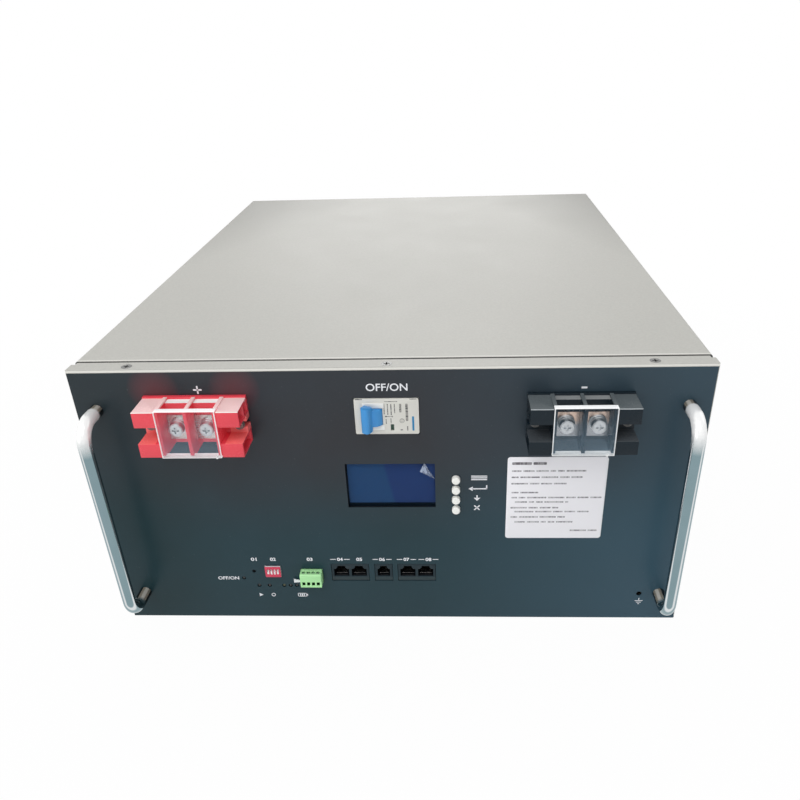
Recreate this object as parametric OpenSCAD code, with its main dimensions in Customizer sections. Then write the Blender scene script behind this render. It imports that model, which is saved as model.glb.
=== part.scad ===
// Rack battery pack: sixteen lithium iron phosphate cells in a folded steel case.
// The origin is the centre of the case's underside. The front faces -Y, +Z is up.

/* [Case] */
// Width over the front panel and the cover
case_w = 442; // [410:1:480]
// Depth from the front face to the rear face, without handles and terminals
case_d = 550; // [510:5:650]
// Height of the case
case_h = 222; // [205:1:260]
// Thickness of the steel sheet
sheet_t = 1.5; // [1.2:0.1:1.8]
// Outer radius of the folded edges
bend_r = 2.5; // [2.2:0.1:4]
// Depth of the front panel's turned-back edges
return_d = 15; // [13:0.5:22]
// Open gap between the front panel and the cover
cover_gap = 2.5; // [1:0.5:4]
// Thickness of the black front sheet
fascia_t = 0.4; // [0.2:0.1:0.6]
// Distance from the panel's edge to the black front sheet
fascia_inset = 1.4; // [1:0.1:3]
// Clearance between pieces that fit in each other
fit = 0.3; // [0.2:0.05:0.4]
// Depth of the front frame behind the front face
frame_d = 35; // [32:1:45]
// Height of the base tray's side flanges
tray_flange_h = 25; // [22:1:35]
// Depth of the rear panel's side flanges
rear_flange_d = 15; // [14:1:20]

/* [Case screws] */
// Diameter of the case screws
screw_d = 4; // [3:0.5:4.5]
// Length of the front panel's screws
screw_len = 8; // [6:1:12]
// Distance of the front screws from the front face
front_screw_y = 8; // [7:0.5:9]
// Distance of the outer front screws from the side of the case
front_screw_inset = 41; // [35:1:60]
// Height of the lower row of side screws
side_screw_low_z = 13; // [12:0.5:15]
// Height of the two upper side screws at each end, as shares of the case height
side_screw_share = [0.27, 0.72];

/* [Handles] */
// Diameter of the handle bar
bar_d = 9.5; // [8:0.5:10]
// Distance from the front face to the middle of the grip
handle_reach = 27; // [22:1:40]
// Bend radius at the middle of the bar
handle_bend_r = 14.5; // [12:0.5:18]
// Distance of each handle from the side of the case
handle_inset = 16; // [12:1:22]
// Distance from the top of the case to the upper foot
handle_top_drop = 30; // [20:1:45]
// Height of the lower foot
handle_foot_z = 27; // [22:0.5:45]
// Diameter of the handle screws
handle_screw_d = 5; // [4:0.5:5]

/* [Terminals] */
// Distance of each terminal block's middle from the side of the case
terminal_inset = 88.8; // [86:0.1:95]
// Shift of both terminal blocks to the right, or to the left below 0
terminal_shift = -1; // [-2:0.1:2]
// Distance from the top of the case to the middle of the blocks and of the breaker
top_row_drop = 36.2; // [30:0.1:45]
// Width of a terminal block
block_w = 72; // [66:1:80]
// Height of a terminal block
block_h = 35.6; // [34:0.1:40]
// Depth of a terminal block in front of the case
block_depth = 24.5; // [24:0.5:32]
// Thickness of the block's base
block_base_t = 3; // [2.5:0.5:4]
// Width of one of the two bays
bay_w = 17.2; // [16:0.1:18]
// Thickness of the barrier between the bays
barrier_t = 2.4; // [2:0.1:3]
// Thickness of the bays' outer walls
bay_wall_t = 2.6; // [2:0.1:3]
// Thickness of the walls of the hollow wings
wing_wall_t = 1.6; // [1.2:0.1:2]
// Distance from the top of the block to the tops of its wings
wing_drop = 1; // [0.4:0.1:1.5]
// Height of the notch between the upper and the lower wing
notch_h = 12.5; // [11:0.1:13]
// Height of the notch's middle below the block's middle
notch_drop = 1; // [0:0.1:1.4]
// Distance from the front face to the floor of the notch
notch_floor = 8; // [7.5:0.5:12]
// Thickness of the terminal plate
plate_t = 2; // [1.5:0.1:3]
// Height of the terminal plate
plate_h = 18.4; // [17:0.1:20]
// Height of the plate's middle below the block's middle
plate_drop = 1.6; // [0:0.1:2.2]
// Distance from the top of the block to the ledge over the plate
ledge_drop = 1.8; // [1.6:0.1:3]
// Depth of the pedestal behind the terminal plate
pedestal_t = 5.5; // [4:0.1:6]
// Diameter of the terminal bolts
terminal_bolt_d = 6; // [5:0.5:6]
// Distance between the two terminal bolts
terminal_bolt_pitch = 21.2; // [19.5:0.1:21.5]
// Thickness of the clear cover
shield_t = 1.2; // [1:0.1:1.5]
// Depth of the clear cover's folded lips
shield_lip = 4.5; // [4:0.5:8]

/* [Breaker] */
// Distance of the breaker's middle from the middle of the case
breaker_x = -1; // [-10:0.5:10]
// Width of the breaker across its pole
pole_w = 27.6; // [26:0.1:30]
// Length of the breaker's nose
nose_l = 44.6; // [44:0.1:46]
// Length of the breaker over its clamps
breaker_l = 90; // [84:1:96]
// Distance that the nose stands out of the front face
nose_proud = 0.5; // [0:0.1:1.5]
// Depth of the nose in front of the breaker's shoulders
nose_d = 17; // [15:0.5:20]
// Depth of the breaker from its nose to the rail
breaker_depth = 68; // [64:1:72]
// Radius of the toggle's drum
drum_r = 7; // [6:0.1:7.4]
// Depth of the toggle's axis behind the nose
toggle_axis_depth = 3; // [2.5:0.1:3.5]
// Distance of the toggle's axis from the breaker's middle
toggle_axis_off = 9.5; // [8:0.1:10.5]
// Length of the toggle's drum
drum_l = 12.4; // [11:0.1:13.5]
// Length of the toggle's grip bar
grip_l = 18.8; // [18:0.1:22]
// Width of the toggle's grip bar
grip_w = 6.4; // [6:0.1:7.5]
// Distance from the toggle's axis to the outside of its grip
grip_reach = 12.2; // [12:0.1:15]
// Swing of the toggle from off to on, in degrees
toggle_swing = 56; // [45:1:60]
// Slide of the contact flag behind its window
flag_travel = 2.8; // [2:0.1:3]

/* [Display and keys] */
// Distance of the display's middle from the middle of the case
display_x = -1; // [-15:0.5:0]
// Distance from the top of the case to the display's middle
display_drop = 93.9; // [92:0.1:104]
// Width of the display window
window_w = 65; // [60:0.5:68]
// Height of the display window
window_h = 37.8; // [36:0.1:44]
// Distance of the menu buttons from the middle of the case
button_x = 46.6; // [46:0.1:52]
// Distance from the top of the case to the middle of the column of buttons
button_drop = 101.2; // [98:0.1:103]
// Distance between menu buttons
button_pitch = 8.7; // [8.5:0.1:9.5]
// Diameter of a menu button
button_d = 6; // [5.5:0.1:6.8]
// Distance that a menu button stands out
button_proud = 3.5; // [2.5:0.1:5]
// Travel of a menu button
button_travel = 0.5; // [0.3:0.1:0.8]
// Side of the square label
label_side = 71.2; // [70:0.1:78]
// Distance of the label's middle from the side of the case
label_inset = 101.9; // [96:0.1:104]
// Distance from the top of the case to the label's middle
label_drop = 105.4; // [104:0.1:112]

/* [Communication row] */
// Height of the middle of the network jacks
jack_z = 47.3; // [44:0.1:50]
// Height of a jack housing
jack_h = 16.3; // [15:0.1:17]
// Width of a double jack housing
jack_pair_w = 29.2; // [28.6:0.1:30]
// Width of the single jack housing
jack_single_w = 13.7; // [13:0.1:14.5]
// Width of a network socket
socket_w = 11.8; // [11:0.1:12]
// Width of the single socket
socket_single_w = 9.8; // [9:0.1:10.5]
// Height of a network socket
socket_h = 7; // [6.5:0.1:7.5]
// Depth of a network socket
socket_depth = 12; // [10:0.5:12.4]
// Distance of the left jack pair from the middle
jack_left_x = -36.7; // [-38:0.1:-36]
// Distance of the single jack from the middle
jack_mid_x = -10.35; // [-12:0.1:-9]
// Distance of the right jack pair from the middle
jack_right_x = 15.6; // [15:0.1:18]
// Distance from the front face to the communication board
comms_depth = 13.5; // [13.5:0.5:16]
// Distance of the plug from the middle
plug_x = -67.25; // [-68:0.05:-66.5]
// Height of the middle of the plug
plug_z = 44.25; // [43:0.05:46]
// Width of the plug
plug_w = 16.7; // [16:0.1:17]
// Height of the plug
plug_h = 12.1; // [11:0.1:12.6]
// Distance that the plug stands out
plug_proud = 7.5; // [6:0.1:9]
// Distance between the plug's clamps
clamp_pitch = 3.81; // [3.5:0.01:3.9]
// Distance of the DIP switch from the middle
dip_x = -97.9; // [-99:0.1:-96]
// Height of the middle of the DIP switch
dip_z = 48.5; // [47:0.1:50]
// Width of the DIP switch
dip_w = 12.3; // [12:0.1:13]
// Height of the DIP switch
dip_h = 9.9; // [9.5:0.1:10.5]
// Distance that the DIP switch stands out
dip_proud = 1.5; // [0.5:0.1:2.5]
// Distance between the DIP sliders
dip_pitch = 2.54; // [2.4:0.01:2.6]
// Travel of a DIP slider
dip_travel = 2; // [1.5:0.1:2.4]
// Distance of the reset button from the middle
reset_x = -113.2; // [-118:0.1:-110]
// Height of the reset button
reset_z = 48.3; // [46:0.1:52]
// Diameter of the reset button
reset_d = 2.4; // [2:0.1:3]
// Travel of the reset button
reset_travel = 0.4; // [0.3:0.1:0.8]
// Diameter of a status lamp
lamp_d = 3; // [2.5:0.1:3.2]
// Distance of the power lamp from the middle
power_lamp_x = -122.3; // [-126:0.1:-120]
// Height of the power lamp
power_lamp_z = 41.4; // [39:0.1:43]
// Height of the lower row of lamps
lamp_row_z = 33.9; // [31:0.1:34.5]
// Distance of the run lamp from the middle
run_lamp_x = -110.9; // [-113:0.1:-109]
// Distance between the run and the alarm lamp
lamp_pitch = 8.3; // [7:0.1:9]
// Distance of the first charge lamp from the middle
charge_lamp_x = -90.8; // [-93:0.1:-89]
// Distance between charge lamps
charge_pitch = 5.1; // [4.5:0.1:5.5]
// Number of charge lamps
charge_count = 6; // [4:1:6]
// Distance of the earth point from the side of the case
earth_inset = 31.2; // [29:0.1:41]
// Height of the earth point
earth_z = 26.4; // [22:0.1:32]
// Diameter of the earth point's thread
earth_d = 4.2; // [3.3:0.1:5]
// Length of the earth insert
earth_len = 8; // [6:0.5:12]

/* [Cells] */
// Distance from the front face to the board in front of the cells
front_room = 192.6; // [190:0.1:200]
// Distance from the top of the case to the tops of the cells
head_room = 18.5; // [18:0.5:24]
// Thickness of the boards beside the cells
side_board_t = 1.75; // [1:0.05:3]
// Gap between cells
cell_gap = 0.3; // [0.2:0.1:0.4]
// Number of cells in a row
row_cells = 8; // [6:1:8]
// Thickness of the insulation boards
board_t = 2; // [1:0.5:3]
// Diameter of a cell post
post_d = 14; // [10:1:18]
// Height of a cell post
post_h = 4; // [3:0.5:5]
// Distance between the two posts of a cell
post_pitch = 122; // [110:1:130]
// Thickness of the series links
link_t = 2; // [1.5:0.5:3]
// Width of the series links
link_w = 20; // [16:1:24]
// Thickness of the foam under the cells
foam_t = 2; // [1:0.5:3]

/* [Management board] */
// Distance of the bracket in front of the cells
bms_gap = 4; // [3:0.5:8]
// Width of the management board
bms_w = 220; // [200:5:240]
// Height of the management board
bms_h = 110; // [100:5:120]
// Distance from the top of the case to the middle of the management board
bms_drop = 117; // [112:1:122]
// Number of fins on the heat sink
fin_count = 14; // [8:1:16]
// Diameter of the power cables
cable_d = 11; // [8:0.5:12]

/* [Hidden] */
$fn = 48;
eps = 0.01;

// ---- places that several pieces share
front = -case_d / 2;
back = case_d / 2;
skin_t = fascia_t + sheet_t;
panel_in = front + skin_t;
under = sheet_t + fit;
body_front = front + return_d + cover_gap;
frame_w = case_w - 2 * under;
frame_front = panel_in + fit;
frame_back = front + frame_d;
top_z = case_h - top_row_drop;
handle_x = case_w / 2 - handle_inset;
terminal_half = case_w / 2 - terminal_inset;
function terminal_x(s) = terminal_shift + s * terminal_half;
label_x = case_w / 2 - label_inset;
earth_x = case_w / 2 - earth_inset;
display_z = case_h - display_drop;
button_z = case_h - button_drop;
label_z = case_h - label_drop;
bms_z = case_h - bms_drop;
handle_top_z = case_h - handle_top_drop;
grip_y = front - handle_reach;
steel = [0.78, 0.79, 0.78];
zinc = [0.72, 0.73, 0.74];

// ---- shapes that repeat
module on_front(y, t) {
    translate([0, y + t, 0]) rotate([90, 0, 0]) linear_extrude(t) children();
}
module rod_y(x, z, y, len, d, sides = 48) {
    translate([x, y, z]) rotate([-90, 0, 0]) cylinder(d = d, h = len, $fn = sides);
}
module box(low, high) {
    translate(low) cube(high - low);
}
module rect_at(x, z, w, h) {
    translate([x - w / 2, z - h / 2]) square([w, h]);
}
module round_rect(w, h, r) {
    square([w - 2 * r, h], center = true);
    square([w, h - 2 * r], center = true);
    for (sx = [-1, 1], sz = [-1, 1]) translate([sx * (w / 2 - r), sz * (h / 2 - r)]) circle(r);
}
// A rectangle whose two corners at u = 0 are round: u is depth, v is width or height.
module fold_profile(depth, size, r) {
    translate([r, 0]) square([depth - r, size]);
    translate([0, r]) square([depth, size - 2 * r]);
    for (v = [r, size - r]) translate([r, v]) circle(r);
}
// A block whose four front edges are round.
module folded_block(w, h, depth, r, y, z) {
    intersection() {
        translate([-w / 2, y, z]) rotate([90, 0, 90]) linear_extrude(w) fold_profile(depth, h, r);
        translate([w / 2, y, z]) rotate([0, 0, 90]) linear_extrude(h) fold_profile(depth, w, r);
    }
}
module cross_recess(size, depth) {
    for (a = [0, 90]) rotate([0, 0, a])
        translate([-size / 2, -size / 8, -depth]) cube([size, size / 4, depth + eps]);
}

// ---- case screws: each lies with its head flush at z = 0 and points to -z
head_d = screw_d * 1.85;
head_h = (head_d - screw_d) / 2;
cover_screw_len = 2 * sheet_t + 2 * fit;
module flush_screw(length) {
    difference() {
        union() {
            translate([0, 0, -head_h]) cylinder(d1 = screw_d - fit, d2 = head_d, h = head_h);
            translate([0, 0, -length]) cylinder(d = screw_d - fit, h = length - head_h + eps);
        }
        cross_recess(head_d * 0.55, head_h * 0.7);
    }
}
module flush_hole() {
    translate([0, 0, -head_h]) cylinder(d1 = screw_d, d2 = head_d + fit, h = head_h);
    translate([0, 0, -screw_len]) cylinder(d = screw_d, h = screw_len);
    cylinder(d = head_d + fit, h = 1);
}
front_screw_x = case_w / 2 - front_screw_inset;
front_screw_places = [-front_screw_x, 0, front_screw_x];
side_heights = [for (share = side_screw_share) share * case_h];
module at_panel_screws() {
    for (x = front_screw_places) {
        translate([x, front + front_screw_y, case_h]) children();
        translate([x, front + front_screw_y, 0]) rotate([180, 0, 0]) children();
    }
    for (z = side_heights, s = [-1, 1])
        translate([s * case_w / 2, front + front_screw_y, z]) rotate([0, s * 90, 0]) children();
}
rear_screw_y = back - rear_flange_d / 2;
frame_screw_y = (body_front + frame_back) / 2;
tray_screw_inset = 60;
tray_screw_ys = [frame_back + tray_screw_inset, 0, back - rear_flange_d - tray_screw_inset];
module at_case_screws() {
    for (s = [-1, 1]) {
        for (z = side_heights, y = [frame_screw_y, rear_screw_y])
            translate([s * case_w / 2, y, z]) rotate([0, s * 90, 0]) children();
        for (y = tray_screw_ys)
            translate([s * case_w / 2, y, side_screw_low_z]) rotate([0, s * 90, 0]) children();
    }
}

// ---- what the front panel and its black sheet let through
nose_gap = 0.4;
key_gap = 0.3;
button_zs = [for (i = [1.5, 0.5, -0.5, -1.5]) button_z + i * button_pitch];
lamp_places = concat(
    [[power_lamp_x, power_lamp_z], [run_lamp_x, lamp_row_z], [run_lamp_x + lamp_pitch, lamp_row_z]],
    [for (i = [0:charge_count - 1]) [charge_lamp_x + i * charge_pitch, lamp_row_z]]);
jack_places = [[jack_left_x, jack_pair_w], [jack_mid_x, jack_single_w], [jack_right_x, jack_pair_w]];
plug_gap = 0.5;
tail_w = 14;
tail_t = 3;
block_half = barrier_t / 2 + bay_w + bay_wall_t;
block_screw_d = 4;
block_screw_x = (block_half + block_w / 2) / 2 + 2.5;
notch_z = top_z - notch_drop;
handle_feet = [for (s = [-1, 1], z = [handle_foot_z, handle_top_z]) [s * handle_x, z]];
block_screw_places = [for (t = [-1, 1], s = [-1, 1]) [terminal_x(t) + s * block_screw_x, notch_z]];
module front_windows() {
    rect_at(breaker_x, top_z, nose_l + 2 * nose_gap, pole_w + 2 * nose_gap);
    rect_at(display_x, display_z, window_w, window_h);
    for (z = button_zs) translate([button_x, z]) circle(d = button_d + 2 * key_gap);
    rect_at(dip_x, dip_z, dip_w + 2 * key_gap, dip_h + 2 * key_gap);
    rect_at(plug_x, plug_z, plug_w + 2 * plug_gap, plug_h + 2 * plug_gap);
    for (j = jack_places) rect_at(j[0], jack_z, j[1] + 2 * key_gap, jack_h + 2 * key_gap);
    translate([reset_x, reset_z]) circle(d = reset_d + 2 * key_gap);
    for (p = lamp_places) translate(p) circle(d = lamp_d + fit);
    for (p = handle_feet) translate(p) circle(d = handle_screw_d + fit);
    for (p = block_screw_places) translate(p) circle(d = block_screw_d + fit);
    for (s = [-1, 1]) rect_at(terminal_x(s), top_z, tail_w + 2 * fit, tail_t + 2 * fit);
    translate([earth_x, earth_z]) circle(d = earth_d);
}

// ---- case
module base_tray() color(steel) {
    half = frame_w / 2;
    flange_back = back - rear_flange_d - 2;
    difference() {
        union() {
            box([-half, body_front, 0], [half, back, sheet_t]);
            for (s = [-1, 1]) box([s > 0 ? half - sheet_t : -half, frame_back + 1, 0],
                [s > 0 ? half : sheet_t - half, flange_back, tray_flange_h]);
        }
        at_case_screws() flush_hole();
    }
}
module front_frame() color([0.16, 0.17, 0.18]) {
    difference() {
        on_front(frame_front, frame_back - frame_front) difference() {
            rect_at(0, case_h / 2, frame_w, case_h - 2 * under);
            rect_at(0, case_h / 2, frame_w - 2 * sheet_t, case_h - 2 * under - 2 * sheet_t);
        }
        at_panel_screws() flush_hole();
        at_case_screws() flush_hole();
    }
}
corner_relief = 3;
module front_panel() color(steel) {
    y = front + fascia_t;
    depth = return_d - fascia_t;
    difference() {
        folded_block(case_w, case_h, depth, bend_r, y, 0);
        folded_block(case_w - 2 * sheet_t, case_h - 2 * sheet_t, depth, bend_r - sheet_t,
            y + sheet_t, sheet_t);
        on_front(front, skin_t + 1) front_windows();
        at_panel_screws() flush_hole();
        for (sx = [-1, 1], z = [0, case_h])
            translate([sx * case_w / 2, front + return_d, z])
                cube([2 * corner_relief, 2 * corner_relief, 2 * corner_relief], center = true);
    }
}
module front_fascia() color([0.09, 0.10, 0.11]) {
    on_front(front, fascia_t) difference() {
        rect_at(0, case_h / 2, case_w - 2 * fascia_inset, case_h - 2 * fascia_inset);
        front_windows();
    }
}
module top_cover() color([0.76, 0.76, 0.73]) {
    depth = back - body_front;
    edge_r = sheet_t * 0.9;
    difference() {
        intersection() {
            on_front(body_front, depth) cover_outline(case_w, case_h, bend_r);
            translate([-case_w / 2, body_front, -case_h])
                rotate([90, 0, 90]) linear_extrude(case_w) fold_profile(depth, 2 * case_h, edge_r);
        }
        on_front(body_front - 1, depth + 2)
            cover_outline(case_w - 2 * sheet_t, case_h - sheet_t, bend_r - sheet_t);
        at_case_screws() flush_hole();
    }
}
module cover_outline(w, h, r) {
    foot = fit;
    translate([-w / 2, foot]) square([w, h - r - foot]);
    translate([r - w / 2, foot]) square([w - 2 * r, h - foot]);
    for (s = [-1, 1]) translate([s * (w / 2 - r), h - r]) circle(r);
}
module rear_panel() color(steel) {
    half = frame_w / 2;
    flange_y = back - rear_flange_d;
    difference() {
        union() {
            box([-half, back - sheet_t, under], [half, back, case_h - under]);
            for (s = [-1, 1]) box([s > 0 ? half - sheet_t : -half, flange_y, under],
                [s > 0 ? half : sheet_t - half, back, case_h - under]);
        }
        at_case_screws() flush_hole();
    }
}
module panel_screws() color(zinc) at_panel_screws() flush_screw(screw_len);
module case_screws() color(zinc) at_case_screws() flush_screw(cover_screw_len);

// ---- handles
tap_depth = 14;
module handle(s) {
    r = handle_bend_r;
    leg = handle_reach - r;
    grip_low = handle_foot_z + r;
    grip_high = handle_top_z - r;
    difference() {
        translate([s * handle_x, 0, 0]) {
            for (z = [handle_foot_z, handle_top_z]) rod_y(0, z, front - leg, leg, bar_d);
            translate([0, grip_y, grip_low]) cylinder(d = bar_d, h = grip_high - grip_low);
            translate([0, front - leg, grip_high]) rotate([0, -90, 0]) rotate([0, 0, 180])
                mirror([1, 0, 0]) bend(r);
            translate([0, front - leg, grip_low]) rotate([0, -90, 0]) rotate([0, 0, 180])
                bend(r);
        }
        for (z = [handle_foot_z, handle_top_z])
            rod_y(s * handle_x, z, front - tap_depth, tap_depth + 1, handle_screw_d);
    }
}
// A quarter of a ring in the XY plane, from +X to +Y.
module bend(r) {
    rotate_extrude(angle = 90) translate([r, 0]) circle(d = bar_d);
}
module handle_left() color([0.82, 0.83, 0.83]) handle(-1);
module handle_right() color([0.82, 0.83, 0.83]) handle(1);
handle_screw_reach = 11;
module handle_screws() color(zinc) for (p = handle_feet) {
    rod_y(p[0], p[1], front - handle_screw_reach, handle_screw_reach + skin_t + 1, handle_screw_d - fit);
    rod_y(p[0], p[1], panel_in, 1, handle_screw_d * 2);
    difference() {
        rod_y(p[0], p[1], panel_in + 1, handle_screw_d * 0.7, handle_screw_d * 1.8);
        rod_y(p[0], p[1], panel_in + 2, handle_screw_d, handle_screw_d * 0.8, 6);
    }
}

// ---- circuit breaker, lying on its side
nose_y = front - nose_proud;
shoulder_y = nose_y + nose_d;
rail_y = nose_y + breaker_depth;
toggle_x = breaker_x - toggle_axis_off;
toggle_y = nose_y + toggle_axis_depth;
rail_w = 35;
rail_seat = 3;
flag_x = breaker_x + 3.6;
flag_window = [2.4, 5];
flag_z = top_z - 8.6;
flag_y = nose_y + 1.3;
flag_t = 1.5;
flag_rim = 0.4;
flag_right = flag_x + flag_window[0] / 2 + flag_rim;
flag_left = flag_x - flag_window[0] / 2 - flag_rim - flag_travel;
flag_half_h = flag_window[1] / 2 + flag_rim;
nose_corner_r = 1.2;
clamp_bore = 7.4;
clamp_wall = 1.2;
clamp_cage = [15, cable_d + 2 * clamp_wall + 2 * fit, 15];
clamp_x = breaker_l / 2 - 9;
clamp_front = shoulder_y + 9;
clamp_mouth = cable_d + 1.8;
clamp_y = clamp_front + clamp_cage[1] / 2;
module breaker_body() color([0.84, 0.83, 0.79]) {
    low = top_z - pole_w / 2;
    high = top_z + pole_w / 2;
    swing_r = drum_r + fit;
    difference() {
        union() {
            translate([breaker_x, 0, top_z]) on_front(nose_y, shoulder_y + 1 - nose_y)
                round_rect(nose_l, pole_w, nose_corner_r);
            box([breaker_x - breaker_l / 2, shoulder_y, low], [breaker_x + breaker_l / 2, rail_y, high]);
        }
        // well of the drum
        translate([toggle_x, toggle_y, top_z - drum_l / 2 - fit]) cylinder(r = swing_r, h = drum_l + 2 * fit);
        // window of the flag and the slot behind it, in which the flag slides
        box([flag_x - flag_window[0] / 2, nose_y - 1, flag_z - flag_window[1] / 2],
            [flag_x + flag_window[0] / 2, flag_y, flag_z + flag_window[1] / 2]);
        box([flag_left - fit, flag_y - fit, flag_z - flag_half_h - fit],
            [flag_right + flag_travel + fit, flag_y + flag_t + fit, flag_z + flag_half_h + fit]);
        for (s = [-1, 1]) {
            x = breaker_x + s * clamp_x;
            rod_y(x, top_z, shoulder_y - 1, clamp_front - shoulder_y + 2, clamp_bore);
            box([x - clamp_cage[0] / 2 - fit, clamp_front - fit, top_z - clamp_cage[2] / 2 - fit],
                [x + clamp_cage[0] / 2 + fit, clamp_front + clamp_cage[1] + fit,
                    top_z + clamp_cage[2] / 2 + fit]);
            box([s > 0 ? x : breaker_x - breaker_l / 2 - 1, clamp_front, top_z - clamp_mouth / 2],
                [s > 0 ? breaker_x + breaker_l / 2 + 1 : x, clamp_front + clamp_cage[1],
                    top_z + clamp_mouth / 2]);
        }
        // seat of the rail
        box([breaker_x - rail_w / 2 - fit, rail_y - rail_seat, low - 1],
            [breaker_x + rail_w / 2 + fit, rail_y + 1, high + 1]);
    }
}
rest_angle = toggle_swing / 2;
module breaker_toggle() color([0.20, 0.50, 0.80]) {
    grip_r = grip_w * 0.36;
    inner = grip_reach - 6;
    translate([toggle_x, toggle_y, top_z]) {
        translate([0, 0, -drum_l / 2]) cylinder(r = drum_r, h = drum_l);
        rotate([0, 0, -rest_angle]) {
            translate([0, 0, -grip_l / 2]) linear_extrude(grip_l) {
                translate([-grip_w / 2, grip_r - grip_reach]) square([grip_w, grip_reach - inner - grip_r]);
                translate([grip_r - grip_w / 2, -grip_reach]) square([grip_w - 2 * grip_r, grip_r + 1]);
                for (s = [-1, 1]) translate([s * (grip_w / 2 - grip_r), grip_r - grip_reach]) circle(grip_r);
            }
            translate([-grip_w / 2, -inner - 1, -drum_l / 2]) cube([grip_w, inner - 1, drum_l]);
        }
    }
}
module breaker_flag() color([0.12, 0.30, 0.22]) {
    box([flag_left, flag_y, flag_z - flag_half_h], [flag_right, flag_y + flag_t, flag_z + flag_half_h]);
}
module breaker_clamps() color(zinc) for (s = [-1, 1]) {
    x = breaker_x + s * clamp_x;
    y = clamp_front;
    screw_h = 6;
    difference() {
        box([x - clamp_cage[0] / 2, y, top_z - clamp_cage[2] / 2],
            [x + clamp_cage[0] / 2, y + clamp_cage[1], top_z + clamp_cage[2] / 2]);
        box([x - clamp_cage[0], y + clamp_wall, top_z - clamp_cage[2] / 2 + clamp_wall],
            [x + clamp_cage[0], y + clamp_cage[1] - clamp_wall, top_z + clamp_cage[2] / 2 - clamp_wall]);
    }
    difference() {
        rod_y(x, top_z, y - screw_h, screw_h, clamp_bore - 2 * fit);
        translate([x, y - screw_h, top_z]) rotate([90, 0, 0]) cross_recess(4.4, 1.6);
    }
}
rail_t = 1;
rail_h = 7.5;
rail_end = 13;
rail_len = pole_w + 2 * rail_end;
rail_channel = 25;
rail_lip_y = rail_y - rail_seat + fit;
module din_rail() color(zinc) {
    half = rail_channel / 2;
    translate([breaker_x, 0, top_z - rail_len / 2]) linear_extrude(rail_len) {
        for (s = [-1, 1]) {
            translate([s > 0 ? half : -rail_w / 2, rail_lip_y]) square([rail_w / 2 - half, rail_t]);
            translate([s > 0 ? half : -half - rail_t, rail_lip_y]) square([rail_t, rail_h]);
        }
        translate([-half - rail_t, rail_lip_y + rail_h - rail_t]) square([rail_channel + 2 * rail_t, rail_t]);
    }
}
bracket_half = breaker_l / 2 + 13;
bracket_y = rail_lip_y + rail_h;
bracket_t = 2;
bracket_h = pole_w - 4;
module breaker_bracket() color(zinc) difference() {
    foot = 16;
    t = bracket_t;
    translate([breaker_x, 0, top_z - bracket_h / 2]) linear_extrude(bracket_h) {
        for (s = [-1, 1]) {
            translate([s > 0 ? bracket_half : -bracket_half - foot, panel_in]) square([foot, t]);
            translate([s > 0 ? bracket_half : -bracket_half - t, panel_in])
                square([t, bracket_y + t - panel_in]);
        }
        translate([-bracket_half - t, bracket_y]) square([2 * bracket_half + 2 * t, t]);
    }
    // the cables pass the bracket's sides
    translate([breaker_x - 2 * bracket_half, clamp_y, top_z]) rotate([0, 90, 0])
        cylinder(d = cable_d + 2, h = 4 * bracket_half);
}

// ---- display and menu keys
board_y = front + 10.5;
pcb_t = 1.6;
module_w = window_w + 18;
module_h = window_h + 14;
glass_y = panel_in + 1.2;
glass_t = 1.4;
glass_margin = 2;
display_left = display_x - window_w / 2 - 16;
display_right = button_x + 9;
display_low = display_z - module_h / 2 - 3;
display_high = display_z + module_h / 2 + 3;
module display_board() color([0.10, 0.32, 0.20]) {
    box([display_left, board_y, display_low], [display_right, board_y + pcb_t, display_high]);
}
module display_module() color([0.10, 0.10, 0.11]) {
    pocket_w = window_w + 2 * glass_margin + 2 * fit;
    pocket_h = window_h + 2 * glass_margin + 2 * fit;
    difference() {
        box([display_x - module_w / 2, panel_in + fit, display_z - module_h / 2],
            [display_x + module_w / 2, board_y, display_z + module_h / 2]);
        box([display_x - pocket_w / 2, panel_in - 1, display_z - pocket_h / 2],
            [display_x + pocket_w / 2, glass_y + glass_t, display_z + pocket_h / 2]);
    }
}
module display_glass() color([0.10, 0.20, 0.42]) {
    w = window_w + 2 * glass_margin;
    h = window_h + 2 * glass_margin;
    box([display_x - w / 2, glass_y, display_z - h / 2],
        [display_x + w / 2, glass_y + glass_t, display_z + h / 2]);
}
switch_t = 3.5;
stem_d = 3.4;
key_depth = 1.4;
flange_gap = 0.6;
flange_t = 1;
module menu_button(i) color([0.93, 0.92, 0.87]) {
    z = button_zs[i];
    edge = 0.5;
    cap_y = front - button_proud;
    flange_y = panel_in + flange_gap;
    translate([button_x, cap_y, z]) rotate([-90, 0, 0])
        cylinder(d1 = button_d - 2 * edge, d2 = button_d, h = edge);
    rod_y(button_x, z, cap_y + edge, flange_y + flange_t - cap_y - edge, button_d);
    rod_y(button_x, z, flange_y, flange_t, button_d + 1.8);
    rod_y(button_x, z, flange_y, board_y - switch_t + key_depth - flange_y, stem_d);
}
module menu_button_1() menu_button(0);
module menu_button_2() menu_button(1);
module menu_button_3() menu_button(2);
module menu_button_4() menu_button(3);
module key_switches() color([0.12, 0.12, 0.13]) {
    for (z = button_zs) key_switch(button_x, z, board_y, stem_d, button_travel);
    key_switch(reset_x, reset_z, comms_y, reset_d, reset_travel);
}
module key_switch(x, z, y, stem, travel) {
    half = 3;
    difference() {
        box([x - half, y - switch_t, z - half], [x + half, y, z + half]);
        rod_y(x, z, y - switch_t - 1, 1 + key_depth + travel + fit, stem + 2 * fit);
    }
}
module spec_label() color([0.95, 0.95, 0.95]) {
    on_front(front - 0.2, 0.2) translate([label_x, label_z]) round_rect(label_side, label_side, 2.2);
}

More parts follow.
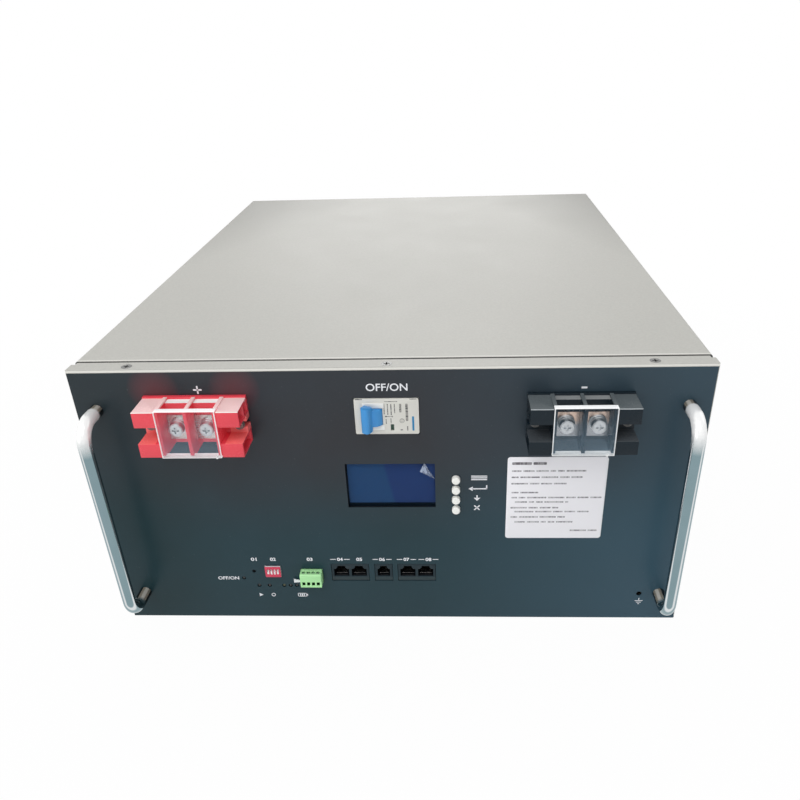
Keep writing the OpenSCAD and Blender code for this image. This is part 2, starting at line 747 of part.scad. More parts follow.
// ---- communication row
comms_y = front + comms_depth;
comms_left = power_lamp_x - 8;
comms_right = jack_right_x + jack_pair_w / 2 + 10;
comms_low = lamp_row_z - 10;
comms_high = jack_z + jack_h / 2 + 7;
module comms_board() color([0.10, 0.32, 0.20]) {
    box([comms_left, comms_y, comms_low], [comms_right, comms_y + pcb_t, comms_high]);
}
jack_face = front + 0.2;
socket_low = jack_z - 3.8;
socket_step = jack_pair_w / 2 - 0.7;
module socket(x, w) {
    latch_w = w * 0.52;
    on_front(jack_face - 1, socket_depth + 1) {
        translate([x - w / 2, socket_low]) square([w, socket_h]);
        translate([x, socket_low + socket_h - eps]) polygon([[-latch_w / 2 - 1.4, 0], [latch_w / 2 + 1.4, 0],
            [latch_w / 2, 1.6], [latch_w / 2, 3], [-latch_w / 2, 3], [-latch_w / 2, 1.6]]);
    }
}
module jack_shell(x, w) {
    box([x - w / 2, jack_face, jack_z - jack_h / 2], [x + w / 2, comms_y, jack_z + jack_h / 2]);
}
module jack_pairs() color([0.08, 0.09, 0.09]) for (x = [jack_left_x, jack_right_x]) {
    difference() {
        jack_shell(x, jack_pair_w);
        for (s = [-0.5, 0.5]) socket(x + s * socket_step, socket_w);
    }
}
module jack_single() color([0.08, 0.09, 0.09]) difference() {
    jack_shell(jack_mid_x, jack_single_w);
    socket(jack_mid_x, socket_single_w);
}
contact_front = 5.6;
contact_t = 0.35;
module contacts(x, n) {
    reach = socket_depth - contact_front - 0.2;
    for (i = [0:n - 1])
        translate([x + (i - (n - 1) / 2) * 1.02 - contact_t / 2, jack_face + contact_front, socket_low + fit])
            rotate([20, 0, 0]) cube([contact_t, reach, contact_t]);
}
module jack_contacts() color([0.85, 0.72, 0.35]) {
    for (x = [jack_left_x, jack_right_x], s = [-0.5, 0.5]) contacts(x + s * socket_step, 8);
    contacts(jack_mid_x, 6);
}
slot_w = 1.7;
slot_h = 5.2;
knob_h = slot_h - dip_travel - 2 * fit;
dip_front = front - dip_proud;
slider_bar_h = slot_h - 2 * fit;
module dip_switch() color([0.86, 0.18, 0.28]) {
    bar_room = slider_bar_h + dip_travel + 2 * fit;
    bar_y = dip_front + 1;
    leg_h = dip_h - 2.3;
    difference() {
        union() {
            box([dip_x - dip_w / 2, dip_front, dip_z - dip_h / 2],
                [dip_x + dip_w / 2, front + 5, dip_z + dip_h / 2]);
            box([dip_x - dip_w / 2, front + 4, dip_z - leg_h / 2],
                [dip_x + dip_w / 2, comms_y, dip_z + leg_h / 2]);
        }
        for (i = [0:3]) {
            x = dip_x + (i - 1.5) * dip_pitch;
            box([x - slot_w / 2, dip_front - 1, dip_z - slot_h / 2],
                [x + slot_w / 2, bar_y + 1, dip_z + slot_h / 2]);
            box([x - slot_w / 2, bar_y, dip_z - bar_room / 2],
                [x + slot_w / 2, bar_y + 2, dip_z + bar_room / 2]);
        }
    }
}
// A slider is a bar under the slot with a knob in it. At rest it is down, which is off.
module dip_slider(i) color([0.97, 0.97, 0.95]) {
    x = dip_x + (i - 1.5) * dip_pitch;
    w = slot_w / 2 - fit / 2;
    knob_low = dip_z - slot_h / 2 + fit;
    bar_mid = dip_z - dip_travel / 2;
    box([x - w, dip_front + 0.3, knob_low], [x + w, dip_front + 1.6, knob_low + knob_h]);
    box([x - w, dip_front + 1.3, bar_mid - slider_bar_h / 2],
        [x + w, dip_front + 2.7, bar_mid + slider_bar_h / 2]);
}
module dip_slider_1() dip_slider(0);
module dip_slider_2() dip_slider(1);
module dip_slider_3() dip_slider(2);
module dip_slider_4() dip_slider(3);

// The plug's body is in front, and a narrower tongue goes into the header's cavity.
header_face = front + 1;
tongue_w = plug_w - 2.4;
tongue_h = plug_h - 4;
tongue_len = 7;
clamp_xs = [for (i = [-1.5, -0.5, 0.5, 1.5]) plug_x + i * clamp_pitch];
pin_half = 0.4;
module plug_header() color([0.36, 0.62, 0.34]) {
    pin_y = header_face + 1.2;
    low = plug_z - plug_h / 2;
    difference() {
        box([plug_x - plug_w / 2, header_face, low], [plug_x + plug_w / 2, comms_y, low + plug_h]);
        box([plug_x - tongue_w / 2 - fit, header_face - 1, plug_z - tongue_h / 2 - fit],
            [plug_x + tongue_w / 2 + fit, header_face + tongue_len + fit, plug_z + tongue_h / 2 + fit]);
    }
    for (x = clamp_xs)
        box([x - pin_half, pin_y, plug_z - pin_half], [x + pin_half, comms_y - eps, plug_z + pin_half]);
}
entry = [2.5, 3.3];
entry_rise = 1.8;
module wire_plug() color([0.52, 0.78, 0.50]) {
    low = plug_z - plug_h / 2;
    top = plug_z + plug_h / 2;
    face = front - plug_proud;
    rear = header_face - fit;
    difference() {
        union() {
            box([plug_x - plug_w / 2, face, low], [plug_x + plug_w / 2, rear, top]);
            box([plug_x - tongue_w / 2, rear - 1, plug_z - tongue_h / 2],
                [plug_x + tongue_w / 2, header_face + tongue_len, plug_z + tongue_h / 2]);
        }
        for (x = clamp_xs) {
            box([x - entry[0] / 2, face - 1, low + entry_rise],
                [x + entry[0] / 2, face + 6, low + entry_rise + entry[1]]);
            translate([x, front - plug_proud / 2, top - clamp_screw_depth])
                cylinder(d = clamp_screw_d + 2 * fit, h = 4);
            box([x - 2 * pin_half, header_face - 2, plug_z - 2 * pin_half],
                [x + 2 * pin_half, header_face + tongue_len + 1, plug_z + 2 * pin_half]);
        }
        // bevel along the upper front edge
        translate([plug_x - plug_w, face, top - 1]) rotate([45, 0, 0]) cube([2 * plug_w, 3, 3]);
    }
}
clamp_screw_d = 2.4;
clamp_screw_depth = 2.8;
module plug_screws() color(zinc) for (x = clamp_xs)
    translate([x, front - plug_proud / 2, plug_z + plug_h / 2 - clamp_screw_depth]) difference() {
        cylinder(d = clamp_screw_d, h = 1.8);
        translate([-clamp_screw_d, -0.25, 1.2]) cube([2 * clamp_screw_d, 0.5, 1]);
    }
module reset_button() color([0.07, 0.07, 0.08]) {
    sunk = 0.8;
    rod_y(reset_x, reset_z, front + sunk, comms_depth - switch_t + key_depth - sunk, reset_d);
    rod_y(reset_x, reset_z, panel_in + flange_gap, flange_t, reset_d + 1.4);
}
module status_lamps() color([0.30, 0.33, 0.28]) for (p = lamp_places) {
    lens_r = lamp_d / 2;
    translate([p[0], front + lens_r, p[1]]) rotate([90, 0, 0]) intersection() {
        sphere(lens_r);
        cylinder(r = lens_r, h = lens_r);
    }
    rod_y(p[0], p[1], front + lens_r - eps, 4, lamp_d);
    rod_y(p[0], p[1], front + lens_r + 3.5, 1, lamp_d + 0.8);
    for (s = [-1, 1]) box([p[0] + s * 0.9 - 0.25, front + lens_r + 4, p[1] - 0.25],
        [p[0] + s * 0.9 + 0.25, comms_y, p[1] + 0.25]);
}
module earth_insert() color([0.45, 0.42, 0.30]) difference() {
    union() {
        rod_y(earth_x, earth_z, panel_in, earth_len, earth_d + 3);
        rod_y(earth_x, earth_z, panel_in, 1, earth_d + 5.5);
    }
    rod_y(earth_x, earth_z, panel_in - 1, earth_len + 2, earth_d);
}
module board_spacers() color(zinc) {
    side = 3.3;
    for (x = [display_left + side, display_right - side], z = [display_low + side, display_high - side])
        rod_y(x, z, panel_in, board_y - panel_in, 5, 6);
    for (x = [comms_left + side, comms_right - side], z = [comms_low + side, comms_high - side])
        rod_y(x, z, panel_in, comms_y - panel_in, 5, 6);
}

// ---- terminals, drawn about their own middle: x along the block, y out of the case is negative
plate_front = -(block_base_t + pedestal_t + plate_t);
plate_low = -plate_drop - plate_h / 2;
plate_top = -plate_drop + plate_h / 2;
half_h = block_h / 2;
wing_inner = block_half;
wing_outer = block_w / 2;
shield_y = -block_depth - fit - shield_t;
shield_back = shield_y + shield_t + shield_lip;
lip_room = shield_t + fit;
module at_terminal(s) {
    translate([terminal_x(s), front, top_z]) children();
}
module wing() {
    rib_y = -(block_base_t + 8);
    notch_top = notch_h / 2 - notch_drop;
    notch_low = -notch_h / 2 - notch_drop;
    wing_top = half_h - wing_drop;
    w = wing_wall_t;
    difference() {
        union() {
            box([wing_inner - eps, -block_depth, notch_top], [wing_outer, 0, wing_top]);
            box([wing_inner - eps, -block_depth, -half_h], [wing_outer, 0, notch_low]);
            box([wing_inner - eps, -notch_floor, -half_h], [wing_outer, 0, wing_top]);
            box([wing_inner - eps, -block_base_t, -half_h], [wing_outer, 0, half_h]);
        }
        // hollows, open at the outer end
        box([wing_inner + w, w - block_depth, notch_top + w], [wing_outer + 1, rib_y - w / 2, wing_top - w]);
        box([wing_inner + w, rib_y + w / 2, notch_top + w], [wing_outer + 1, -block_base_t, wing_top - w]);
        box([wing_inner + w, w - block_depth, w - half_h], [wing_outer + 1, -block_base_t, notch_low - w]);
        // slot for the mounting screw
        rod_y(block_screw_x, -notch_drop, -block_depth, block_depth + 1, block_screw_d + fit);
        box([block_screw_x, -notch_floor - 1, -notch_drop - (block_screw_d + fit) / 2],
            [wing_outer + 1, 1, -notch_drop + (block_screw_d + fit) / 2]);
    }
}
nut_t = 3;
nut_d = 9.6;
module terminal_block() {
    difference() {
        union() {
            solid_bays();
            wing();
            mirror([1, 0, 0]) wing();
        }
        bay_cuts();
    }
}
module solid_bays() {
    inner = block_half - bay_wall_t;
    box([-block_half, -block_base_t, -half_h], [block_half, 0, half_h]);
    box([-block_half, -block_base_t - pedestal_t, plate_low - 1], [block_half, 0, half_h - ledge_drop]);
    for (x = [-block_half, inner]) box([x, -block_depth, -half_h], [x + bay_wall_t, 0, half_h]);
    box([-barrier_t / 2, -block_depth, -half_h], [barrier_t / 2, 0, half_h]);
}
module bay_cuts() {
    inner = block_half - bay_wall_t;
    // room of the plate, its nuts, its bolts and its tail
    box([-inner, plate_front - fit, plate_low - fit], [inner, plate_front + plate_t, plate_top + fit]);
    for (s = [-0.5, 0.5]) {
        rod_y(s * terminal_bolt_pitch, 0, plate_front, plate_t + nut_t + fit, nut_d + 2 * fit);
        rod_y(s * terminal_bolt_pitch, 0, plate_front, -plate_front - bolt_tip / 2, terminal_bolt_d + fit);
    }
    box([-tail_w / 2 - fit, plate_front, -tail_t / 2 - fit], [tail_w / 2 + fit, 1, tail_t / 2 + fit]);
    // seats of the clear cover's lips
    for (s = [-1, 1]) box([-block_half, -block_depth - 1, s > 0 ? half_h - lip_room : -half_h - 1],
        [block_half, shield_back + fit, s > 0 ? half_h + 1 : lip_room - half_h]);
}
module positive_block() color([0.82, 0.20, 0.24]) at_terminal(-1) terminal_block();
module negative_block() color([0.13, 0.14, 0.15]) at_terminal(1) terminal_block();
tail_reach = 30;
tail_hole_y = tail_reach - 9;
module terminal_plate() {
    w = 2 * (block_half - bay_wall_t - fit);
    difference() {
        union() {
            box([-w / 2, plate_front, plate_low], [w / 2, plate_front + plate_t, plate_top]);
            box([-tail_w / 2, plate_front + plate_t - eps, -tail_t / 2], [tail_w / 2, tail_reach, tail_t / 2]);
            for (s = [-0.5, 0.5])
                rod_y(s * terminal_bolt_pitch, 0, plate_front + plate_t - eps, nut_t, nut_d);
        }
        for (s = [-0.5, 0.5])
            rod_y(s * terminal_bolt_pitch, 0, plate_front - 1, plate_t + nut_t + 2, terminal_bolt_d + fit);
        translate([0, tail_hole_y, -tail_t]) cylinder(d = terminal_bolt_d + fit, h = 2 * tail_t);
    }
}
module positive_plate() color([0.80, 0.78, 0.72]) at_terminal(-1) terminal_plate();
module negative_plate() color([0.80, 0.62, 0.48]) at_terminal(1) terminal_plate();
washer_t = 1.6;
spring_t = 1.8;
bolt_head_h = 5.2;
bolt_head_y = plate_front - washer_t - spring_t - bolt_head_h;
bolt_tip = 1.5;
module terminal_bolt() {
    d = terminal_bolt_d;
    cap_d = 1.65 * d;
    cap_chamfer = 0.5;
    difference() {
        union() {
            rod_y(0, 0, plate_front - washer_t, washer_t, 2 * d);
            rod_y(0, 0, plate_front - washer_t - spring_t, spring_t + eps, 1.8 * d);
            rod_y(0, 0, bolt_head_y + cap_chamfer, bolt_head_h - cap_chamfer + eps, cap_d);
            rod_y(0, 0, bolt_head_y, cap_chamfer + eps, cap_d - 2 * cap_chamfer);
            rod_y(0, 0, bolt_head_y + 1, -bolt_head_y - 1 - bolt_tip, d);
        }
        translate([0, bolt_head_y, 0]) rotate([90, 0, 0]) cross_recess(0.8 * d, 1.8);
    }
}
lug_t = 2.4;
module terminal_bolts() color(zinc) for (t = [-1, 1]) at_terminal(t) {
    for (s = [-0.5, 0.5]) translate([s * terminal_bolt_pitch, 0, 0]) terminal_bolt();
    // the bolt that holds the cable's lug on the plate's tail
    translate([0, tail_hole_y, -tail_t / 2 - nut_t]) {
        cylinder(d = 1.8 * terminal_bolt_d, h = nut_t, $fn = 6);
        cylinder(d = terminal_bolt_d, h = nut_t + tail_t + lug_t + 1);
        translate([0, 0, nut_t + tail_t + lug_t]) cylinder(d = 1.8 * terminal_bolt_d, h = nut_t, $fn = 6);
    }
}
module shield() {
    half = block_half - fit;
    hook = 2;
    box([-half, shield_y, -half_h], [half, shield_y + shield_t, half_h]);
    for (low = [-half_h, half_h - shield_t]) box([-half, shield_y, low], [half, shield_back, low + shield_t]);
    // small hook at the lower right corner
    box([half - 2.5 * hook, shield_y + hook, -half_h - hook],
        [half - 1.8 * hook, shield_y + 2 * hook, eps - half_h]);
}
module positive_cover() color([0.90, 0.93, 0.95, 0.35]) at_terminal(-1) shield();
module negative_cover() color([0.90, 0.93, 0.95, 0.35]) at_terminal(1) shield();
block_washer_t = 0.8;
block_screw_head_h = 1.8;
module block_screws() color(zinc) for (p = block_screw_places) {
    y = front - notch_floor;
    head_y = y - block_washer_t - block_screw_head_h;
    rod_y(p[0], p[1], y - block_washer_t, block_washer_t, 1.8 * block_screw_d);
    difference() {
        rod_y(p[0], p[1], head_y, block_screw_head_h + eps, 1.5 * block_screw_d);
        translate([p[0], head_y, p[1]]) rotate([90, 0, 0]) cross_recess(0.8 * block_screw_d, 1);
    }
    rod_y(p[0], p[1], y - 1, notch_floor + skin_t + 7, block_screw_d - fit);
    difference() {
        rod_y(p[0], p[1], panel_in, 3.2, 2 * block_screw_d, 6);
        rod_y(p[0], p[1], panel_in - 1, 6, block_screw_d);
    }
}

// ---- cells: two rows from the rear, each of cells side by side along X
rear_gap = 1;
cell_low = sheet_t + foam_t;
cell_top = case_h - head_room;
cell_h = cell_top - cell_low;
row_w = frame_w - 2 * sheet_t - 2 * side_board_t - 6 * fit;
cell_step = (row_w + cell_gap) / row_cells;
cell_t = cell_step - cell_gap;
cell_w = (case_d - front_room - sheet_t - rear_gap - 3 * board_t - 3 * cell_gap) / 2;
rear_row_y = back - sheet_t - rear_gap - board_t - cell_w / 2;
front_row_y = rear_row_y - cell_w - board_t - 2 * cell_gap;
row_ys = [front_row_y, rear_row_y];
stack_front = front_row_y - cell_w / 2 - cell_gap - board_t;
link_z = cell_top + post_h;
function cell_x(i) = (i - (row_cells - 1) / 2) * cell_step;
module cells() color([0.16, 0.36, 0.62]) for (y = row_ys, i = [0:row_cells - 1])
    translate([cell_x(i), y, cell_low]) linear_extrude(cell_h) round_rect(cell_t, cell_w, 3);
module cell_posts() color([0.80, 0.81, 0.82]) for (y = row_ys, i = [0:row_cells - 1])
    translate([cell_x(i), y, cell_top]) {
        for (s = [-0.5, 0.5]) translate([0, s * post_pitch, 0]) cylinder(d = post_d, h = post_h, $fn = 24);
        cylinder(d = 16, h = 0.8, $fn = 24);
    }
// Links join neighbours at alternate ends. A side bar on the right joins the two rows, and the
// rear row's last post comes forward in a side bar on the left.
side_bar_inset = 2;
side_bar_gap = 2.75;
side_bar_w = (cell_t - link_w) / 2 - side_bar_inset - side_bar_gap;
side_bar_x = row_w / 2 - side_bar_inset - side_bar_w / 2;
take_off_y = stack_front - 14;
far_post = post_pitch / 2;
last_x = cell_x(row_cells - 1);
module cell_links() color([0.78, 0.55, 0.38]) translate([0, 0, link_z]) linear_extrude(link_t) {
    for (y = row_ys, i = [0:row_cells - 2])
        translate([cell_x(i) + cell_step / 2, y + (i % 2 == 0 ? far_post : -far_post)])
            square([cell_step + link_w, link_w], center = true);
    near_y = front_row_y - far_post;
    rear_y = rear_row_y - far_post;
    for (y = [near_y, rear_y]) translate([last_x - link_w / 2, y - link_w / 2])
        square([side_bar_x + side_bar_w / 2 - last_x + link_w / 2, link_w]);
    translate([side_bar_x - side_bar_w / 2, near_y]) square([side_bar_w, rear_y - near_y]);
    translate([-side_bar_x - side_bar_w / 2, rear_y - link_w / 2])
        square([side_bar_x + side_bar_w / 2 - last_x + link_w / 2, link_w]);
    translate([-side_bar_x - side_bar_w / 2, take_off_y]) square([side_bar_w, rear_y - take_off_y]);
    translate([-last_x - side_bar_w / 2 + 4, take_off_y]) square([side_bar_w, near_y - take_off_y]);
    translate([-last_x, near_y]) square(link_w, center = true);
}
module cell_boards() color([0.80, 0.76, 0.50]) {
    depth = rear_row_y + cell_w / 2 - (front_row_y - cell_w / 2);
    low = sheet_t + fit;
    inside = row_w / 2 + fit;
    for (x = [inside, -inside - side_board_t])
        box([x, front_row_y - cell_w / 2, low], [x + side_board_t, front_row_y - cell_w / 2 + depth, cell_top]);
    for (y = [stack_front, front_row_y + cell_w / 2 + cell_gap, rear_row_y + cell_w / 2 + cell_gap])
        box([-row_w / 2, y, cell_low + fit], [row_w / 2, y + board_t, cell_top - 2]);
}
module foam_pads() color([0.25, 0.25, 0.27]) {
    box([-row_w / 2, front_row_y - cell_w / 2, sheet_t], [row_w / 2, rear_row_y + cell_w / 2, cell_low]);
    for (y = row_ys)
        box([-row_w / 2, y - cell_w / 2 + 4, link_z + link_t], [row_w / 2, y + cell_w / 2 - 4, case_h - under]);
}

// ---- management board in front of the cells
bracket_face = stack_front - bms_gap;
bms_y = bracket_face - sheet_t - 6;
bms_front = bms_y - pcb_t;
fet_h = 4.6;
heat_y = bms_front - fet_h;
stud_x = 80;
stud_h = 10;
stud_z = bms_z - bms_h / 2 + 10;
bracket_foot = 25;
module bms_bracket() color(zinc) {
    half = bms_w / 2 + 12;
    box([-half, bracket_face - sheet_t, sheet_t], [half, bracket_face, bms_z + bms_h / 2 + 8]);
    box([-half, bracket_face - bracket_foot, sheet_t], [half, bracket_face, 2 * sheet_t]);
    for (x = [-bms_w / 2 + 6, bms_w / 2 - 6], z = [bms_z - bms_h / 2 + 6, bms_z + bms_h / 2 - 6])
        rod_y(x, z, bms_y, bracket_face - sheet_t - bms_y + eps, 6, 6);
}
module bms_board() color([0.08, 0.30, 0.20]) {
    box([-bms_w / 2, bms_front, bms_z - bms_h / 2], [bms_w / 2, bms_y, bms_z + bms_h / 2]);
    // a row of power transistors, a row of capacitors, and the studs of the two cables
    fet_w = 10;
    fet_l = 15;
    fet_low = bms_z + 8;
    for (i = [-5.5:5.5]) translate([i * 1.4 * fet_w, 0, 0])
        box([-fet_w / 2, bms_front - fet_h, fet_low], [fet_w / 2, bms_front, fet_low + fet_l]);
    for (i = [-1.5:1.5]) rod_y(i * 22, bms_z - bms_h / 2 + 14, bms_front - 14, 14, 10);
    for (s = [-1, 1]) rod_y(s * stud_x, stud_z, bms_front - stud_h, stud_h, 8);
}
heat_w = 190;
heat_h = 62;
module bms_heatsink() color([0.70, 0.71, 0.72]) {
    low = bms_z - 12;
    fin_t = 2;
    fin_h = 20;
    heat_base_t = 4;
    gap = (heat_w - fin_t) / (fin_count - 1);
    box([-heat_w / 2, heat_y - heat_base_t, low], [heat_w / 2, heat_y, low + heat_h]);
    for (i = [0:fin_count - 1])
        box([-heat_w / 2 + i * gap, heat_y - fin_h, low],
            [-heat_w / 2 + i * gap + fin_t, heat_y - heat_base_t + eps, low + heat_h]);
    for (s = [-1, 1]) rod_y(s * (heat_w / 2 - 8), bms_z + 40, heat_y - eps, fet_h + eps, 6, 6);
}

// ---- wiring: cable runs are straight rods with round elbows
module cable(points) {
    for (i = [0:len(points) - 2]) cable_run(points[i], points[i + 1]);
    for (i = [1:len(points) - 2]) translate(points[i]) sphere(d = 1.08 * cable_d);
}
module cable_run(a, b) {
    v = b - a;
    length = norm(v);
    translate(a) rotate([0, acos(v[2] / length), atan2(v[1], v[0])])
        cylinder(d = cable_d, h = length);
}
// A lug lies on the plate's tail, and its cable leaves backwards.
lug_z = top_z + tail_t / 2 + lug_t / 2;
cable_start_y = front + tail_reach + fit;
module lug(s) translate([terminal_x(s), 0, lug_z]) difference() {
    box([-tail_w / 2, front + tail_hole_y - 7, -lug_t / 2], [tail_w / 2, cable_start_y + 4, lug_t / 2]);
    translate([0, front + tail_hole_y, -lug_t]) cylinder(d = terminal_bolt_d + fit, h = 2 * lug_t);
}
module power_cables() color([0.10, 0.10, 0.11]) {
    left_end = breaker_x - breaker_l / 2 + 4;
    right_end = breaker_x + breaker_l / 2 - 4;
    outside = bracket_half + 20;
    deep = heat_y - 42;
    post_y = take_off_y + cable_d / 2;
    stud_y = bms_front - stud_h;
    straight = 25;
    // positive terminal to the breaker
    lug(-1);
    cable([[terminal_x(-1), cable_start_y, lug_z], [terminal_x(-1), cable_start_y + straight, lug_z],
        [-outside, cable_start_y + straight, lug_z], [-outside, clamp_y, top_z], [left_end, clamp_y, top_z]]);
    // breaker to the first cell
    cable([[right_end, clamp_y, top_z], [outside, clamp_y, top_z], [outside, deep, top_z],
        [4 - last_x, deep, top_z], [4 - last_x, post_y, top_z], [4 - last_x, post_y, link_z]]);
    // last cell to the management board, and from there to the negative terminal
    cable([[-side_bar_x, post_y, link_z], [-side_bar_x, post_y, stud_z],
        [-side_bar_x, stud_y - straight, stud_z], [-stud_x, stud_y - straight, stud_z],
        [-stud_x, stud_y, stud_z]]);
    cable([[stud_x, stud_y, stud_z], [stud_x, stud_y - straight, stud_z],
        [terminal_x(1), stud_y - straight, stud_z], [terminal_x(1), stud_y - straight, lug_z],
        [terminal_x(1), cable_start_y, lug_z]]);
    lug(1);
}
ribbon_w = 20;
ribbon_t = 1;
module signal_ribbons() color([0.62, 0.64, 0.66]) {
    plug_t = 6;
    x = display_x - 10;
    comms_back = comms_y + pcb_t;
    board_back = board_y + pcb_t;
    strip_y = comms_back + plug_t - 2;
    // from the display board down to the communication board
    box([x, board_back, display_low + 4], [x + ribbon_w, strip_y + ribbon_t, display_low + 10]);
    box([x, comms_back, comms_high - 10], [x + ribbon_w, strip_y + ribbon_t, comms_high - 4]);
    box([x, strip_y, comms_high - 5], [x + ribbon_w, strip_y + ribbon_t, display_low + 5]);
    // from the communication board back to the management board
    low = stud_z - 3;
    left = x - 3 * ribbon_w;
    box([left, comms_back, low], [left + ribbon_w, comms_back + plug_t, low + plug_t]);
    box([left, bms_front - plug_t, low], [left + ribbon_w, bms_front, low + plug_t]);
    box([left, comms_back + 1, low + 2], [left + ribbon_w, bms_front - 1, low + 2 + ribbon_t]);
}

base_tray();
front_frame();
front_panel();
front_fascia();
top_cover();
rear_panel();
panel_screws();
case_screws();
handle_left();
handle_right();
handle_screws();
breaker_body();
breaker_toggle();
breaker_flag();
breaker_clamps();
din_rail();
breaker_bracket();
display_board();
display_module();
display_glass();
menu_button_1();
menu_button_2();
menu_button_3();
menu_button_4();
key_switches();
comms_board();
jack_pairs();
jack_single();
jack_contacts();
dip_switch();
dip_slider_1();
dip_slider_2();
dip_slider_3();
dip_slider_4();
plug_header();
wire_plug();
plug_screws();
reset_button();
status_lamps();
positive_block();
negative_block();
positive_plate();
negative_plate();
terminal_bolts();
positive_cover();
negative_cover();
block_screws();
earth_insert();
spec_label();
board_spacers();
cells();
cell_posts();
cell_links();
cell_boards();
foam_pads();
bms_bracket();
bms_board();
bms_heatsink();
power_cables();
signal_ribbons();
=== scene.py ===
# %% [markdown]
# # Dressing a rack battery pack
# The object is a battery for a rack: a folded steel case with a black front sheet, two guarded bolt
# terminals, a breaker, a small display with four keys, a row of sockets, a green wire plug and two
# bow handles. Its solids come from a CAD model, which is loaded as a fixed frame. This lesson gives
# each solid a finish made of nodes, rounds the moulded parts, and adds what is printed on them.

# %% Load the frame
import math

import bpy
from mathutils import Matrix, Vector


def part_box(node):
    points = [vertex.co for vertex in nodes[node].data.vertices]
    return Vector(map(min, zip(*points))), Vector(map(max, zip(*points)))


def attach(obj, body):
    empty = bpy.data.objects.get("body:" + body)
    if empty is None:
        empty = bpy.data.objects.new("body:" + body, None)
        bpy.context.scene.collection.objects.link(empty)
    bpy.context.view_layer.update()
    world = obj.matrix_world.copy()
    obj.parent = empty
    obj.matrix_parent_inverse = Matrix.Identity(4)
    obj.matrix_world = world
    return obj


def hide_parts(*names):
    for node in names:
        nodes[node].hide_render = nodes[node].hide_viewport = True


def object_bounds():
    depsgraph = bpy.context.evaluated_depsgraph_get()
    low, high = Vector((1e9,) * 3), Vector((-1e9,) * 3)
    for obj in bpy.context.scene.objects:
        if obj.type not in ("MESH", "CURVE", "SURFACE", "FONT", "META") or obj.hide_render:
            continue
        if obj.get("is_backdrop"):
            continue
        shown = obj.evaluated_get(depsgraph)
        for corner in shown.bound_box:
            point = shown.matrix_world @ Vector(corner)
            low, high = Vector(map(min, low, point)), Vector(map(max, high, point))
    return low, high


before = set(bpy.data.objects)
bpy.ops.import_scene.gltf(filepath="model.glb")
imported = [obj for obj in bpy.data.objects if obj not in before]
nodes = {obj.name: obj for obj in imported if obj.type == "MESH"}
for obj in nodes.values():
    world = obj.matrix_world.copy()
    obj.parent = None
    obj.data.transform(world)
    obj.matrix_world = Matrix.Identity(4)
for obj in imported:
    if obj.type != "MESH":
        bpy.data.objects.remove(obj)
cad_box = [list(corner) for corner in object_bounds()]
mm = 0.001
print("nodes:", len(nodes), "box in mm:", [[round(v / mm, 1) for v in corner] for corner in cad_box])

# %% [markdown]
# ## Small helpers
# An operator in Blender acts on everything that is selected, so each helper first selects its own
# piece. A finished piece keeps its place in its mesh and its object at the origin, because a pattern
# that reads object coordinates then stays where it is put.

# %% Select, place and join
def select_only(*pieces):
    bpy.ops.object.select_all(action="DESELECT")
    for piece in pieces:
        piece.select_set(True)
    bpy.context.view_layer.objects.active = pieces[-1]


def settle(piece):
    select_only(piece)
    bpy.ops.object.transform_apply(location=True, rotation=True, scale=True)
    return piece


def apply_modifiers(piece):
    select_only(piece)
    for modifier in list(piece.modifiers):
        bpy.ops.object.modifier_apply(modifier=modifier.name)
    return piece


def join(pieces, name):
    select_only(*pieces)
    bpy.ops.object.join()
    piece = bpy.context.object
    piece.name = name
    piece.data.name = name
    return piece


def middle(node):
    low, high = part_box(node)
    return (Vector(low) + Vector(high)) / 2


print("middle of the display in mm:", [round(v / mm, 1) for v in middle("display_glass")])

# %% [markdown]
# ## Shader sums as plain Python
# A finish is a small sum of noises. Wrapping a socket in a class lets the sum be written as it would
# be on paper, and each sign adds the Math node for it. Colours go through a Mix node instead.

# %% A class for the values of a finish
def sign(operation):
    """What a sign does between two values: it adds one Math node."""
    return lambda value, other: value.math(operation, value, other)


class Value:
    """What a socket gives. A sum written with it adds Math nodes to its finish."""

    def __init__(self, finish, socket):
        self.finish, self.socket = finish, socket

    def math(self, operation, *values):
        return self.finish.node("ShaderNodeMath", {"operation": operation}, *values)

    def between(self, low, high):
        return (self > low) * (self < high)

    def __rsub__(self, other):
        return self.math("SUBTRACT", other, self)

    def __abs__(self):
        return self.math("ABSOLUTE", self)

    __add__ = __radd__ = sign("ADD")
    __sub__ = sign("SUBTRACT")
    __mul__ = __rmul__ = sign("MULTIPLY")
    __truediv__ = sign("DIVIDE")
    __gt__, __lt__ = sign("GREATER_THAN"), sign("LESS_THAN")
    # the larger of two masks covers both
    __or__ = sign("MAXIMUM")


